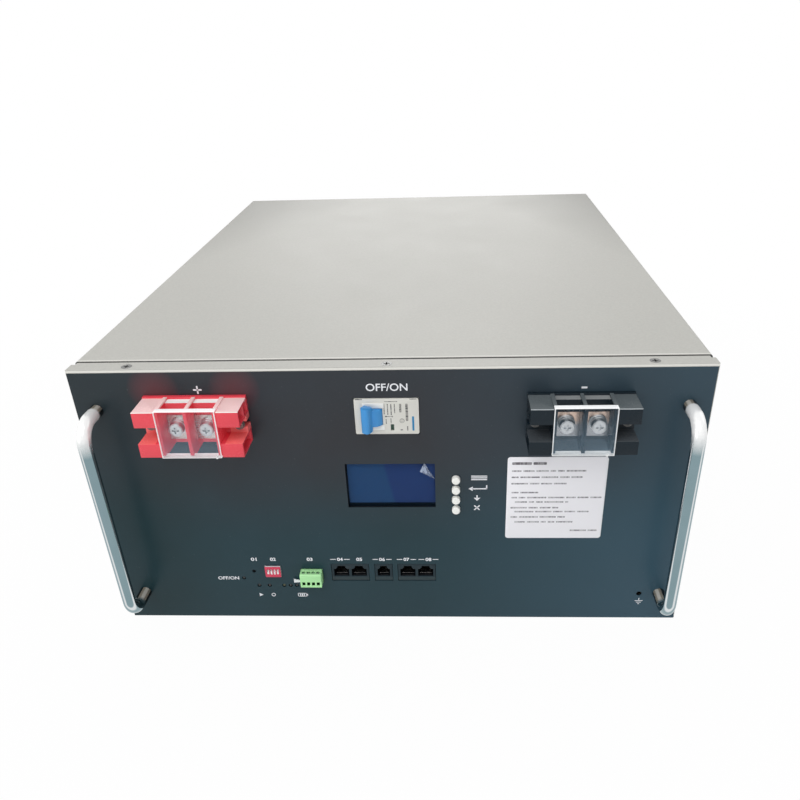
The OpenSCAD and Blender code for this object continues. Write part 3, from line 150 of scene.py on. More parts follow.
# %% A class for a finish
class Finish:
    """A material built from one Principled shader. Sockets are named with _ for a space."""

    def __init__(self, name, **constants):
        self.material = bpy.data.materials.new(name)
        self.material.use_nodes = True
        self.tree = self.material.node_tree
        self.shader = self.tree.nodes["Principled BSDF"]
        self.feed(self.shader, **constants)
        self.place = self.node("ShaderNodeTexCoord", out="Object")

    def plug(self, socket, value):
        """A value of the tree is linked, and a plain one is set."""
        if isinstance(value, Value):
            self.tree.links.new(value.socket, socket)
        else:
            socket.default_value = value

    def feed(self, node, *values, **named):
        for socket, value in zip(node.inputs, values):
            self.plug(socket, value)
        for name, value in named.items():
            self.plug(node.inputs[name.replace("_", " ")], value)

    def node(self, kind, settings=None, *values, out=0, **named):
        node = self.tree.nodes.new(kind)
        for key, value in (settings or {}).items():
            setattr(node, key, value)
        self.feed(node, *values, **named)
        return Value(self, node.outputs[out])

    def noise(self, scale, detail=2.0, stretch=None):
        """Noise from 0 to 1 around 0.5, with scale in ripples a metre."""
        place = self.place
        if stretch:
            place = self.node("ShaderNodeMapping", Vector=place, Scale=stretch)
        return self.node("ShaderNodeTexNoise", Vector=place, Scale=scale, Detail=detail)

    def axes(self):
        """The X, Y and Z of a point, in metres."""
        node = self.node("ShaderNodeSeparateXYZ", Vector=self.place).socket.node
        return [Value(self, socket) for socket in node.outputs]

    def ramp(self, value, start, end, smooth=False):
        """From 0 where the value is at its start to 1 where it is at its end."""
        settings = {"interpolation_type": "SMOOTHSTEP"} if smooth else {}
        return self.node("ShaderNodeMapRange", settings, Value=value, From_Min=start, From_Max=end)

    def mix(self, share, first, second):
        blend = self.node("ShaderNodeMix", {"data_type": "RGBA"}, share, out=2)
        for index, colour in ((6, first), (7, second)):
            colour = colour if isinstance(colour, Value) else (*colour, 1.0)
            self.plug(blend.socket.node.inputs[index], colour)
        return blend

    def relief(self, *layers):
        """Each layer is a height from 0 to 1 and its depth in metres."""
        normal = {}
        for height, depth in layers:
            normal = {"Normal": self.node("ShaderNodeBump", Height=height, Distance=depth, **normal)}
        self.feed(self.shader, **normal)

    def set(self, **sockets):
        self.feed(self.shader, **sockets)

    def lay(self, *layers):
        """Each layer is a share and the colour that it lays over the finish's tone."""
        for share, colour in layers:
            self.tone = self.mix(share, self.tone, colour)
        self.set(Base_Color=self.tone)


def shade(colour, factor):
    """The same colour, lighter or darker."""
    return tuple(min(1.0, channel * factor) for channel in colour)


print("the class for finishes is ready")

# %% [markdown]
# ## The camera
# The pack is seen from a little above and right of its middle. The lens and the shift put the case's
# corners where a product picture has them.

# %% Camera
eye = Vector((45.14, -726.36, 423.41)) * mm
turn = (math.radians(60.8117), math.radians(1.64995), math.radians(2.12788))
bpy.ops.object.camera_add(location=eye, rotation=turn)
camera = bpy.context.object
camera.data.sensor_width, camera.data.lens = 36, 33.207
camera.data.shift_x, camera.data.shift_y = -0.0241, 0.0432
camera.data.clip_start = 10 * mm
bpy.context.scene.camera = camera
print("camera", [round(v, 3) for v in camera.location], "lens", camera.data.lens)

# %% [markdown]
# ## Light and floor
# A large soft lamp above the front lights the cover and the front alike, and weaker ones fill in from
# the sides. A wide softbox behind the pack gives its top and the tops of the blocks a faint sheen,
# and a narrow one lower down puts a soft light band on the rear half of the cover. The floor is pale.
# What the camera, a mirror or a glass sees of the floor and of the sky is mixed with plain white, so
# that the ground stays bright without more light on the pack.

# %% Lamps
def lamp(name, place, aim, size, power):
    """A softbox, placed and sized in metres, with its power in watts."""
    way = Vector(aim) - Vector(place)
    bpy.ops.object.light_add(type="AREA", location=place, rotation=way.to_track_quat("-Z", "Y").to_euler())
    piece = bpy.context.object
    piece.name = name
    piece.data.shape = "RECTANGLE"
    piece.data.size, piece.data.size_y = size
    piece.data.energy = power


target = (0, 0, 0.1)
lamp("key", (-0.5, -1.3, 2.0), target, (2.2, 1.4), 22)
lamp("fill", (-2.2, -1.4, 0.9), target, (1.6, 1.6), 7)
lamp("rim", (2.0, 0.6, 1.6), target, (1.4, 1.4), 5)
lamp("sheen", (-0.2, 2.2, 1.6), (0, 0.1, 0.2), (2.0, 0.8), 4)
lamp("cover_sheen", (-0.1, 2.2, 0.85), (0, 0.2, 0.222), (1.2, 0.3), 9)

# %% Sky
world = bpy.data.worlds.new("studio")
bpy.context.scene.world = world
world.use_nodes = True
sky = world.node_tree.nodes
links = world.node_tree.links
path = sky.new("ShaderNodeLightPath")
seen, clear = sky.new("ShaderNodeMath"), sky.new("ShaderNodeMath")
seen.operation = clear.operation = "MAXIMUM"
plain, white, blend = sky["Background"], sky.new("ShaderNodeBackground"), sky.new("ShaderNodeMixShader")
plain.inputs["Color"].default_value = (0.93, 0.96, 1.0, 1)
plain.inputs["Strength"].default_value = 0.55
white.inputs["Color"].default_value = (1, 1, 1, 1)
for source, socket in (
        (path.outputs["Is Camera Ray"], seen.inputs[0]),
        (path.outputs["Is Glossy Ray"], seen.inputs[1]),
        (seen.outputs[0], clear.inputs[0]),
        (path.outputs["Is Transmission Ray"], clear.inputs[1]),
        (clear.outputs[0], blend.inputs[0]),
        (plain.outputs[0], blend.inputs[1]),
        (white.outputs[0], blend.inputs[2]),
        (blend.outputs[0], sky["World Output"].inputs["Surface"])):
    links.new(source, socket)
bpy.context.scene.view_settings.view_transform = "Standard"
print("sky strength", plain.inputs["Strength"].default_value)

# %% Floor
def paint(piece, finish):
    """Give a piece one finish and no other."""
    piece.data.materials.clear()
    piece.data.materials.append(finish.material)


bpy.ops.mesh.primitive_plane_add(size=12, location=(0, 0, -0.5 * mm))
floor = settle(bpy.context.object)
floor.name = "floor"
ground = Finish("pale_floor", Base_Color=(0.85, 0.85, 0.85, 1), Roughness=0.8)
camera_ray, glossy_ray, clear_ray = [ground.node("ShaderNodeLightPath", out="Is %s Ray" % kind)
    for kind in ("Camera", "Glossy", "Transmission")]
x, y, z = ground.axes()
away = ground.ramp(x.math("SQRT", x * x + y * y), 300 * mm, 850 * mm, smooth=True)
white_share = (camera_ray | glossy_ray | clear_ray) * (0.97 + 0.03 * away)
glow = ground.node("ShaderNodeEmission", Color=(1, 1, 1, 1), Strength=1.0)
surface = ground.node("ShaderNodeMixShader", {}, white_share, Value(ground, ground.shader.outputs[0]), glow)
ground.feed(ground.tree.nodes["Material Output"], Surface=surface)
paint(floor, ground)
floor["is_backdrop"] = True
print("floor", floor.dimensions[:])

# %% [markdown]
# ## Painted steel
# The cover, the base and the turned-back edges of the front are powder coated. Powder coat has a
# fine orange peel, a grain of lighter and darker flakes, a faint large-scale drift of tone, and gloss
# that changes a little where hands have been. Noises at four scales make that.

# %% Powder coat
def powder_coat(name, colour, roughness, peel, grainy=1.0):
    coat = Finish(name, Metallic=0.0, Specular_IOR_Level=0.22)
    drift = coat.noise(3.5, 2)
    cloud = coat.noise(28, 4)
    flake = coat.noise(620, 2)
    speck = coat.noise(1900, 2)
    share = 0.5 + 0.8 * (drift - 0.5) + 0.3 * (cloud - 0.5) + grainy * (flake - 0.5) + 0.3 * (speck - 0.5)
    coat.tone = coat.mix(share, shade(colour, 0.90), shade(colour, 1.10))
    coat.set(Base_Color=coat.tone, Roughness=roughness + 0.14 * (cloud - 0.5) + 0.10 * (flake - 0.5))
    coat.relief((coat.noise(520, 3), peel), (speck, peel * 0.3))
    return coat


paint_colour = (0.517, 0.504, 0.462)
case_paint = powder_coat("case_paint", paint_colour, 0.55, 0.00006)
frame_paint = powder_coat("frame_paint", (0.030, 0.031, 0.034), 0.5, 0.00004, grainy=0.4)
print(case_paint.material.name, len(case_paint.tree.nodes), "nodes")

# %% [markdown]
# ## The front panel's paint
# The front panel's paint is darkened wherever it lies behind the black sheet, which takes in the walls
# of its holes, and along its lower fold. Along the upper fold, and on the rounded front edge of the
# cover, the paint is lighter: a painted highlight. The cover's cut end under that edge gets a painted
# shade of the gap above the panel, and its rear corners are a little darker: a painted shade.

# %% Paint of the front panel
front_paint = powder_coat("front_paint", paint_colour, 0.55, 0.00006)
panel_low, panel_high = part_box("front_panel")
x, y, z = front_paint.axes()
dark_paint_depth, sheet_inset, lower_fold_h = 2 * mm, 1.7 * mm, 2.6 * mm
fold_h, fold_depth = 1.3 * mm, 1.4 * mm
behind_sheet = (abs(x) < panel_high[0] - sheet_inset) * z.between(sheet_inset, panel_high[2] - sheet_inset)
# The paint is darkened behind the black sheet, in the walls of its holes, and along the lower fold.
dark_paint = (behind_sheet | (z < lower_fold_h)) * (y < panel_low[1] + dark_paint_depth)
# A painted highlight along the upper fold.
fold = (z > panel_high[2] - fold_h) * (y < panel_low[1] + fold_depth)
front_paint.lay((fold, shade(paint_colour, 1.45)), (dark_paint, (0.008, 0.011, 0.014)))
print("the primer covers the panel to y =", round((panel_low[1] + dark_paint_depth) / mm, 1), "mm")

# %% Paint of the cover
cover_paint = powder_coat("cover_paint", paint_colour, 0.55, 0.00006)
lid_low, lid_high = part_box("top_cover")
x, y, z = cover_paint.axes()
cut_end, round_end, round_h = 0.5 * mm, 2.2 * mm, 1.5 * mm
behind_front = y - lid_low[1]
# A painted shade on the cover's cut end, in the gap above the panel.
lid_end_shade = behind_front < cut_end
# A painted highlight along the cover's rounded front edge.
lid_edge_highlight = behind_front.between(cut_end, round_end) * (z > lid_high[2] - round_h)
# A painted shade on the cover's rear corners.
shaded_rear_corners = cover_paint.ramp(abs(x) + 0.5 * y, 200 * mm, 340 * mm)
cover_paint.lay((0.28 * shaded_rear_corners, (0, 0, 0)), (lid_edge_highlight, shade(paint_colour, 1.4)),
    (lid_end_shade, (0.10, 0.098, 0.09)))
print("the cover starts at y =", round(lid_low[1] / mm, 1), "mm")

# %% [markdown]
# ## The black front sheet
# The front is a satin sheet, blue-green black at the bottom and more neutral at the top, and bluer
# to the right. Over the red block's wings it has a faint painted reflection of the red block. Its
# texture is fine sand rather than orange peel, and a few dust grains catch the light.

# %% Front sheet
front_print = Finish("front_print", Metallic=0.0, Specular_IOR_Level=0.26)
x, y, z = front_print.axes()
height = front_print.ramp(z, 70 * mm, 165 * mm, smooth=True)
to_right = front_print.ramp(x, 20 * mm, 200 * mm)
to_left = front_print.ramp(x, -120 * mm, -190 * mm)
sand = front_print.noise(2600, 1)
smudge = front_print.noise(16, 4)
dust = front_print.noise(900, 1) > 0.77
lower, upper = (0.011, 0.038, 0.048), (0.030, 0.032, 0.037)
left_tone, right_tone = (0.007, 0.030, 0.036), (0.034, 0.080, 0.112)
wing_x, reflection_rise, reflection_r = 28.5 * mm, 4 * mm, 18.44 * mm
over_wing = abs(x - middle("positive_block").x) - wing_x
over_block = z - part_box("positive_block")[1][2] - reflection_rise
# A painted reflection of the red block in the sheet, in a soft disc over each wing.
red_reflection = front_print.ramp(over_wing * over_wing + over_block * over_block, reflection_r ** 2, 0.0)
front_print.tone = front_print.mix(height, lower, upper)
front_print.lay((to_right * (1 - 0.4 * height), right_tone), (to_left * (0.9 - 0.5 * height), left_tone),
    (0.8 * red_reflection, (0.120, 0.038, 0.044)), (0.25 * (smudge - 0.3), shade(right_tone, 1.2)),
    (dust * 0.12, (0.25, 0.27, 0.29)))
front_print.set(Roughness=0.34 + 0.16 * (smudge - 0.5) + 0.10 * (sand - 0.5))
front_print.relief((sand, 0.00002), (smudge, 0.00004))
print("front sheet from", lower, "to", upper)

# %% [markdown]
# ## Bare metals
# Zinc-plated sheet and screws are bright but cloudy, the handles are polished and chromed, and the
# links between the cells are bare copper. They share one recipe: a metal whose gloss is broken up by
# a cloud and by fine scratches that run one way.

# %% Metals
def metal(name, colour, roughness, cloudy, scratch, stretch=(1, 1, 1)):
    plate = Finish(name, Metallic=1.0)
    cloud = plate.noise(60, 4)
    lines = plate.noise(2400, 2, stretch)
    plate.set(Base_Color=plate.mix(cloud, shade(colour, 1 - cloudy), shade(colour, 1 + cloudy)),
        Roughness=roughness + 1.2 * cloudy * (cloud - 0.5) + 0.12 * (lines - 0.5))
    plate.relief((lines, scratch))
    return plate


zinc_sheet = metal("zinc_sheet", (0.62, 0.63, 0.64), 0.34, 0.10, 0.00001, (1, 1, 0.08))
bright_screws = metal("bright_screws", (0.60, 0.61, 0.62), 0.30, 0.14, 0.00001)
handle_chrome = metal("handle_chrome", (0.35, 0.385, 0.40), 0.11, 0.05, 0.000001, (1, 1, 0.05))
# The screws sunk in the strip and in the blocks' notches are painted dark: painted shade of their recesses.
shaded_sunk_screws = metal("shaded_sunk_screws", (0.22, 0.22, 0.215), 0.38, 0.30, 0.00001)
clamp_zinc = metal("clamp_zinc", (0.55, 0.56, 0.58), 0.35, 0.10, 0.00001)
aluminium = metal("aluminium", (0.74, 0.75, 0.77), 0.36, 0.06, 0.00001, (0.05, 1, 1))
copper = metal("copper", (0.78, 0.44, 0.28), 0.33, 0.10, 0.00001, (1, 0.06, 1))
plate_tin = metal("plate_tin", (0.66, 0.63, 0.60), 0.26, 0.12, 0.00001, (0.1, 1, 1))
plate_copper = metal("plate_copper", (0.86, 0.62, 0.48), 0.24, 0.12, 0.00001, (0.1, 1, 1))
plate_copper.tone = plate_copper.mix(plate_copper.noise(60, 4), (0.60, 0.43, 0.34), (0.84, 0.66, 0.55))
# The plate keeps its copper colour in a band along its top and turns grey below it.
grey_below = plate_copper.ramp(plate_copper.axes()[2], 187.0 * mm, 183.5 * mm)
plate_copper.lay((grey_below, (0.40, 0.40, 0.41)))
contact_gold = metal("contact_gold", (0.30, 0.28, 0.24), 0.35, 0.06, 0.000002)
earth_brass = metal("earth_brass", (0.55, 0.48, 0.30), 0.35, 0.12, 0.00001)
print("metals made")

# %% [markdown]
# ## Chrome bows
# A chrome bar shows the room as long stripes: a greyish middle, a bright line on each side of it, and
# dark again at the very rim. A strong coat between the middle and the rim gives the bright lines. The
# upper bends are painted nearly white and lose most of their metal: a painted highlight. The lower legs
# and the feet get a painted reflection of the black front, dark but for a painted brownish highlight
# strip along their upper and inner side.

# %% Edges and feet of the handles
facing = handle_chrome.node("ShaderNodeLayerWeight", Blend=0.5, out="Facing")
front_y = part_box("front_fascia")[0][1]
bow_low, bow_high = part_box("handle_right")
bow_r = (bow_high[0] - bow_low[0]) / 2
bow_middle, bow_half = (bow_low[2] + bow_high[2]) / 2, (bow_high[2] - bow_low[2]) / 2
ramp = handle_chrome.ramp
x, y, z = handle_chrome.axes()
upper_half = z > bow_middle
outwards = abs(z - bow_middle) - bow_half + bow_r
inwards = middle("handle_right").x - abs(x)
lit_side = (0.85 * outwards * (2 * upper_half - 1) + 0.5 * inwards) / bow_r
leg = ramp(y, front_y - 16 * mm, front_y - 11 * mm)
foot = ramp(y, front_y - 7 * mm, front_y - 5 * mm)
upper_bend = ramp(z, bow_high[2] - 26 * mm, bow_high[2] - 11 * mm)
strip = ramp(lit_side, 0.66, 0.80)
handle_chrome.tone = handle_chrome.mix(handle_chrome.noise(60, 4), (0.20, 0.29, 0.315), (0.25, 0.345, 0.375))
# Painted reflection for the legs and feet: dark where they mirror the black front, with a painted brownish
# highlight strip on their lit side.
painted_leg_reflection = handle_chrome.mix(ramp(lit_side, 0.92, 0.97), (0.30, 0.265, 0.21), (0.66, 0.62, 0.55))
painted_leg_reflection = handle_chrome.mix(strip, (0.02, 0.024, 0.026), painted_leg_reflection)
# The upper bends get a painted highlight, nearly white.
handle_chrome.lay((leg * (1 - upper_half), painted_leg_reflection), (upper_bend, (1.0, 0.99, 0.97)), (foot, painted_leg_reflection))
# Where light is painted, the metal mostly gives way to the painted tone.
painted_light_share = (strip * leg) | (upper_bend * (1 - foot))
bright_lines = ramp(facing, 0.31, 0.36) * ramp(facing, 0.53, 0.45) * (1 - leg) * (1 - upper_bend)
handle_chrome.set(Metallic=1 - 0.85 * painted_light_share, Coat_Weight=bright_lines, Coat_IOR=9.0, Coat_Roughness=0.08)
print("the bows are", round(2 * bow_r / mm, 1), "mm thick")

# %% [markdown]
# ## Moulded plastics
# A moulding takes its grain from the tool. Each one gets a fine grain, a drift in tone from the
# flow of the melt, and small changes in gloss. A colour that lets light in gets a little scatter.

# %% Plastics
def moulded(name, colour, roughness, grain=0.00002, drift=0.06, scatter=0.0, **more):
    part = Finish(name, Metallic=0.0, **more)
    flow = part.noise(45, 3)
    fine = part.noise(1700, 2)
    share = 0.7 * flow + 0.3 * fine
    part.tone = part.mix(share, shade(colour, 1 - drift), shade(colour, 1 + drift))
    part.set(Base_Color=part.tone, Roughness=roughness + 0.10 * (flow - 0.5) + 0.08 * (fine - 0.5))
    if scatter:
        part.set(Subsurface_Weight=scatter, Subsurface_Radius=(0.004, 0.002, 0.001), Subsurface_Scale=1.0)
    part.relief((fine, grain))
    return part


breaker_case = moulded("breaker_case", (0.74, 0.72, 0.655), 0.42)
cheek_white = moulded("cheek_white", (0.90, 0.89, 0.85), 0.35)
toggle_blue = moulded("toggle_blue", (0.045, 0.30, 0.68), 0.30)
black_plastic = moulded("black_plastic", (0.016, 0.018, 0.020), 0.38)
jack_black = moulded("jack_black", (0.011, 0.026, 0.034), 0.42, Specular_IOR_Level=0.25)
hole_black = moulded("hole_black", (0.002, 0.003, 0.004), 0.6, Specular_IOR_Level=0.1)
button_ivory = moulded("button_ivory", (1.0, 0.98, 0.92), 0.34, drift=0.02)
switch_red = moulded("switch_red", (0.68, 0.040, 0.095), 0.33)
slider_white = moulded("slider_white", (0.94, 0.94, 0.93), 0.4)
plug_green = moulded("plug_green", (0.48, 0.90, 0.42), 0.45)
block_red = moulded("block_red", (0.86, 0.062, 0.088), 0.26, grain=0.00001, scatter=0.05)
block_black = moulded("block_black", (0.009, 0.017, 0.024), 0.27, grain=0.00001, Specular_IOR_Level=0.2)
cell_blue = moulded("cell_blue", (0.03, 0.12, 0.32), 0.28)
insulation = moulded("insulation", (0.60, 0.55, 0.30), 0.55, grain=0.00004, drift=0.12)
foam = moulded("foam", (0.06, 0.06, 0.065), 0.9, grain=0.0002, drift=0.2)
cable_black = moulded("cable_black", (0.02, 0.02, 0.022), 0.55, grain=0.00003)
print("plastics made")

# %% [markdown]
# ## Painted sheen on the tops of the terminal blocks
# The blocks' upper faces are painted paler than the sides, most of all along their front edge and on
# the ledge over the terminal plate: a painted sheen of the light from above. The red block is painted
# brighter in the notches between the wings, a painted glow of light through the red plastic. The black
# one has a painted sheen on the tops of its lower wings.

# %% Tops of the blocks
top_depth, flange_t = 1.15 * mm, 3.1 * mm
edge_t, edge_depth = 0.45 * mm, 1.45 * mm
ledge_drop, ledge_half, ledge_back, ledge_front = 1.8 * mm, 0.12 * mm, 2.9 * mm, 8.6 * mm


def paint_sheen_on_tops(part, node, top, edge, ledge):
    """Paint a sheen on the tops: a point's tone follows its depth under the block's top and its way forward
    from the back.
    """
    low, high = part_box(node)
    x, y, z = part.axes()
    depth, forward = high[2] - z, high[1] - y
    on_ledge = (abs(depth - ledge_drop) < ledge_half) * forward.between(ledge_back, ledge_front)
    part.lay(((depth < top_depth) * (forward > flange_t), top),
        ((y < low[1] + edge_t) * (depth < edge_depth), edge), (on_ledge, ledge))


red = middle("positive_block")
notch_drop, notch_half, notch_from = 1 * mm, 6.4 * mm, 24 * mm
x, y, z = block_red.axes()
# The notches between the wings are painted brighter: a painted glow of light through the red plastic.
notch = (abs(z - red.z + notch_drop) < notch_half) * (abs(x - red.x) > notch_from)
block_red.lay((notch, (1.0, 0.17, 0.165)))
# Painted sheen on the tops, front edges and ledges of both blocks.
paint_sheen_on_tops(block_red, "positive_block", (1.0, 0.66, 0.64), (1.0, 0.95, 0.88), (1.0, 1.0, 0.97))
shelf_drop, shelf_half = 7.25 * mm, 0.3 * mm
# A painted sheen on the tops of the black block's lower wings.
lower_wing_sheen = abs(block_black.axes()[2] - (red.z - shelf_drop)) < shelf_half
block_black.lay((lower_wing_sheen, (0.060, 0.068, 0.075)))
paint_sheen_on_tops(block_black, "negative_block", (0.105, 0.122, 0.128), (0.46, 0.49, 0.50), (0.26, 0.27, 0.27))
print("tops of the blocks are paler in the upper", round(top_depth / mm, 2), "mm")

# %% [markdown]
# ## Deep places in small mouldings
# A socket, a wire entry or a slot is a pocket that light hardly reaches. The sockets and the plug get
# painted shade: a second, darker tone behind their face and inside their outline. The red switch's
# slots get a pale tone there instead.

# %% Darker pockets
def pocket(part, node, behind, tone, across=None, up=None):
    """Lay a tone over what lies behind the node's face, between the given borders in metres; in a socket or
    a wire entry it is painted shade.
    """
    x, y, z = part.axes()
    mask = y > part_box(node)[0][1] + behind * mm
    for axis, borders in ((x, across), (z, up)):
        if borders:
            mask = mask * axis.between(*borders)
    part.lay((mask, tone))


up_jack = jack_black.axes()[2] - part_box("jack_pairs")[0][2]
jack_black.lay((up_jack.between(0.8 * mm, 3.6 * mm), (0.026, 0.044, 0.049)))
# Painted shade inside the sockets, and in the plug's wire entries and screw wells.
pocket(jack_black, "jack_pairs", 0.5, (0.003, 0.004, 0.006))
plug_low, plug_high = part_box("wire_plug")
inside = (plug_low[0] + 0.6 * mm, plug_high[0] - 0.6 * mm)
wire_z = (plug_low[2] + 1.5 * mm, plug_low[2] + 5.4 * mm)
screw_z = (plug_high[2] - 2.9 * mm, plug_high[2] - 0.5 * mm)
pocket(plug_green, "wire_plug", 0.6, (0.010, 0.055, 0.012), inside, wire_z)
pocket(plug_green, "wire_plug", 2.2, (0.10, 0.30, 0.10), inside, screw_z)
pocket(switch_red, "dip_switch", 0.4, (0.80, 0.70, 0.72))
print("pockets in the sockets, the plug and the switch")

# %% [markdown]
# ## Circuit boards and flat cables
# A board is green solder mask over tracks, so it is striped at the scale of the tracks. A flat cable
# is a row of round cores, so it has fine ribs along its length.

# %% Boards and ribbons
board_green = Finish("board_green", Metallic=0.0)
tracks = board_green.node("ShaderNodeTexVoronoi", {"feature": "DISTANCE_TO_EDGE", "distance": "CHEBYCHEV"},
    Vector=board_green.place, Scale=260.0)
line = tracks < 0.09
board_green.set(Base_Color=board_green.mix(line, (0.012, 0.10, 0.045), (0.03, 0.20, 0.09)),
    Roughness=0.30 + 0.1 * board_green.noise(200, 2))
board_green.relief((line, 0.00003))
ribbon_grey = Finish("ribbon_grey", Metallic=0.0)
across = ribbon_grey.axes()[0]
core_pitch = 1.27 * mm
ribs = across.math("SINE", across * (2 * math.pi / core_pitch))
# The grooves between the cores are painted darker and the crests lighter: painted shade along the ribs.
ribbon_grey.set(Base_Color=ribbon_grey.mix(0.5 + 0.5 * ribs, (0.30, 0.31, 0.33), (0.42, 0.43, 0.45)),
    Roughness=0.45 + 0.05 * ribs)
ribbon_grey.relief((0.5 + 0.5 * ribs, 0.0002))
print("boards and ribbons made")

# %% [markdown]
# ## Clear covers, display and lamps
# A clear cover shows what is behind it, and mirrors the room more the flatter it is looked at. So it
# is see-through by a share that is large on its faces. Its lips and its bent and cut edges, where a
# real sheet gathers light, get a painted highlight: a nearly opaque white finish of their own that
# glows a little. Its lower lip and side edges are painted white on the cover itself too, and towards
# the bottom it is a little less clear and bluer: a painted reflection. The display is dark blue behind
# its glass, with a painted teal reflection over its left part, and the lamps are smoked lenses, off.

# %% Clear plastic
def clear_plastic(name, tint, least, most, roughness):
    sheet = Finish(name, Base_Color=(*tint, 1), Metallic=0.0, IOR=1.5, Specular_IOR_Level=0.5)
    facing = sheet.node("ShaderNodeLayerWeight", Blend=0.35, out="Facing")
    cloud = sheet.noise(90, 3)
    sheet.alpha = least + (most - least) * facing + 0.04 * (cloud - 0.5)
    sheet.set(Alpha=sheet.alpha, Roughness=roughness + 0.04 * (cloud - 0.5))
    return sheet


covers = ["positive_cover", "negative_cover"]
clear_cover = clear_plastic("clear_cover", (0.52, 0.70, 0.84), 0.01, 0.12, 0.06)
cover_low, cover_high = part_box("positive_cover")
sheet_t, hook, rim_w = 1.2 * mm, 2 * mm, 0.6 * mm
lip_low = cover_low[2] + hook
x, y, z = clear_cover.axes()
lower_share = (cover_high[2] - z) / (cover_high[2] - lip_low)
# The lower lip and the side edges are painted white and nearly opaque: a painted highlight.
rim = z < lip_low + rim_w
for node in covers:
    from_side = abs(abs(x - middle(node).x) - (cover_high[0] - cover_low[0]) / 2)
    rim = rim | (from_side < rim_w)
# Towards the bottom the cover is a little less clear and shows more of its blue tint: a painted reflection.
lower_reflection = clear_cover.alpha + 0.07 * lower_share
clear_cover.set(Alpha=lower_reflection | (0.85 * rim),
    Base_Color=clear_cover.mix(rim, (0.46, 0.68, 0.86), (1.0, 1.0, 0.99)))
# The edges' finish is a painted highlight: white, nearly opaque and glowing a little.
glowing_cover_edge = clear_plastic("glowing_cover_edge", (1.0, 1.0, 0.99), 0.85, 0.97, 0.10)
glowing_cover_edge.set(Emission_Color=(1, 1, 1, 1), Emission_Strength=0.22)
lower_lip = abs(glowing_cover_edge.axes()[2] - lip_low - sheet_t) < 0.15 * mm
glowing_cover_edge.set(Alpha=glowing_cover_edge.alpha * (1 - 0.4 * lower_lip))
print("the clear covers are", round((cover_high[2] - lip_low) / mm, 1), "mm high")

# %% Protective film
film_clear = clear_plastic("film_clear", (0.66, 0.75, 0.92), 0.22, 0.30, 0.12)
glass_low, glass_high = [Vector(corner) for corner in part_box("display_glass")]
film_back = glass_low.y - 0.3 * mm
x, y, z = film_clear.axes()
streak = film_clear.noise(420, 3, (1, 1, 0.25))
lifted = y < film_back
film_clear.set(Alpha=lifted * (film_clear.alpha + 0.55 * (streak > 0.5) * streak))
print("the film is loose in front of y =", round(film_back / mm, 2), "mm")

# %% Display glass
display_blue = Finish("display_blue", Metallic=0.0, Specular_IOR_Level=0.06)
x, y, z = display_blue.axes()
# The lighter teal band over the left part of the display is a painted reflection.
past_reflection_band = display_blue.ramp(x + 0.21 * z, 23.5 * mm, 26.0 * mm)
navy = display_blue.mix(display_blue.noise(30, 2), (0.018, 0.042, 0.135), (0.021, 0.048, 0.150))
display_blue.tone = display_blue.mix(past_reflection_band, (0.021, 0.062, 0.155), navy)
shadow_w, shadow_h = 3.0 * mm, 4.4 * mm
shadow = (x < glass_low.x + shadow_w) | (z < glass_low.z + shadow_h)
display_blue.lay((shadow, (0.006, 0.012, 0.020)))
display_blue.set(Roughness=0.10 + 0.05 * display_blue.noise(80, 2))
print("the display starts at x =", round(glass_low.x / mm, 1), "mm")

# %% Lamp lenses
lamp_lens = Finish("lamp_lens", Metallic=0.0, Coat_Weight=0.2)
x, y, z = lamp_lens.axes()
swirl = lamp_lens.noise(700, 2)
alarm_x, charge_x, lens_reach = -102.6 * mm, -90.8 * mm, 2.5 * mm
alarm = abs(x - alarm_x) < lens_reach
first_charge = abs(x - charge_x) < lens_reach
lamp_lens.tone = lamp_lens.mix(swirl, (0.006, 0.009, 0.010), (0.012, 0.016, 0.017))
lamp_lens.lay((alarm * 0.4, (0.035, 0.014, 0.016)), (first_charge * 0.6, (0.075, 0.085, 0.030)))
lamp_lens.set(Roughness=0.18 + 0.1 * swirl)
print("lamp lenses made")

# %% Label film
label_white = moulded("label_white", (0.97, 0.95, 0.97), 0.42, grain=0.00002, drift=0.03)
label_low, label_high = [Vector(v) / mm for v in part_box("spec_label")]
x, y, z = label_white.axes()
cut_edge = (x > (label_high.x - 0.9) * mm) | (z < (label_low.z + 0.8) * mm)
label_white.lay((cut_edge, (0.90, 0.89, 0.90)))
print("the label is", round(label_high.x - label_low.x, 1), "mm wide")

# %% Inks
white_ink = moulded("white_ink", (0.90, 0.90, 0.92), 0.5, grain=0.00001, drift=0.04)
blue_ink = moulded("blue_ink", (0.0, 0.20, 0.42), 0.4, grain=0.00001, drift=0.04)


def broken_ink(name, dark, light, ripples, stretch):
    """Ink whose tone breaks up along a row, as small print does from a distance."""
    ink = Finish(name, Metallic=0.0)
    stroke = ink.noise(ripples, 1, stretch)
    ink.set(Base_Color=ink.mix(stroke > 0.47, dark, light), Roughness=0.5 + 0.1 * (stroke - 0.5))
    ink.relief((stroke, 0.000005))
    return ink


heading_ink = broken_ink("heading_ink", (0.14, 0.13, 0.14), (0.30, 0.29, 0.30), 900, (1, 1, 0.2))
row_ink = broken_ink("row_ink", (0.24, 0.23, 0.24), (0.52, 0.50, 0.51), 900, (1, 1, 0.2))
mark_ink = broken_ink("mark_ink", (0.09, 0.09, 0.09), (0.34, 0.33, 0.30), 1100, (0.2, 1, 1))
print("inks made")

# %% [markdown]
# ## A finish for every solid of the frame
# Each solid keeps its own shape, and only the material in its slots changes.

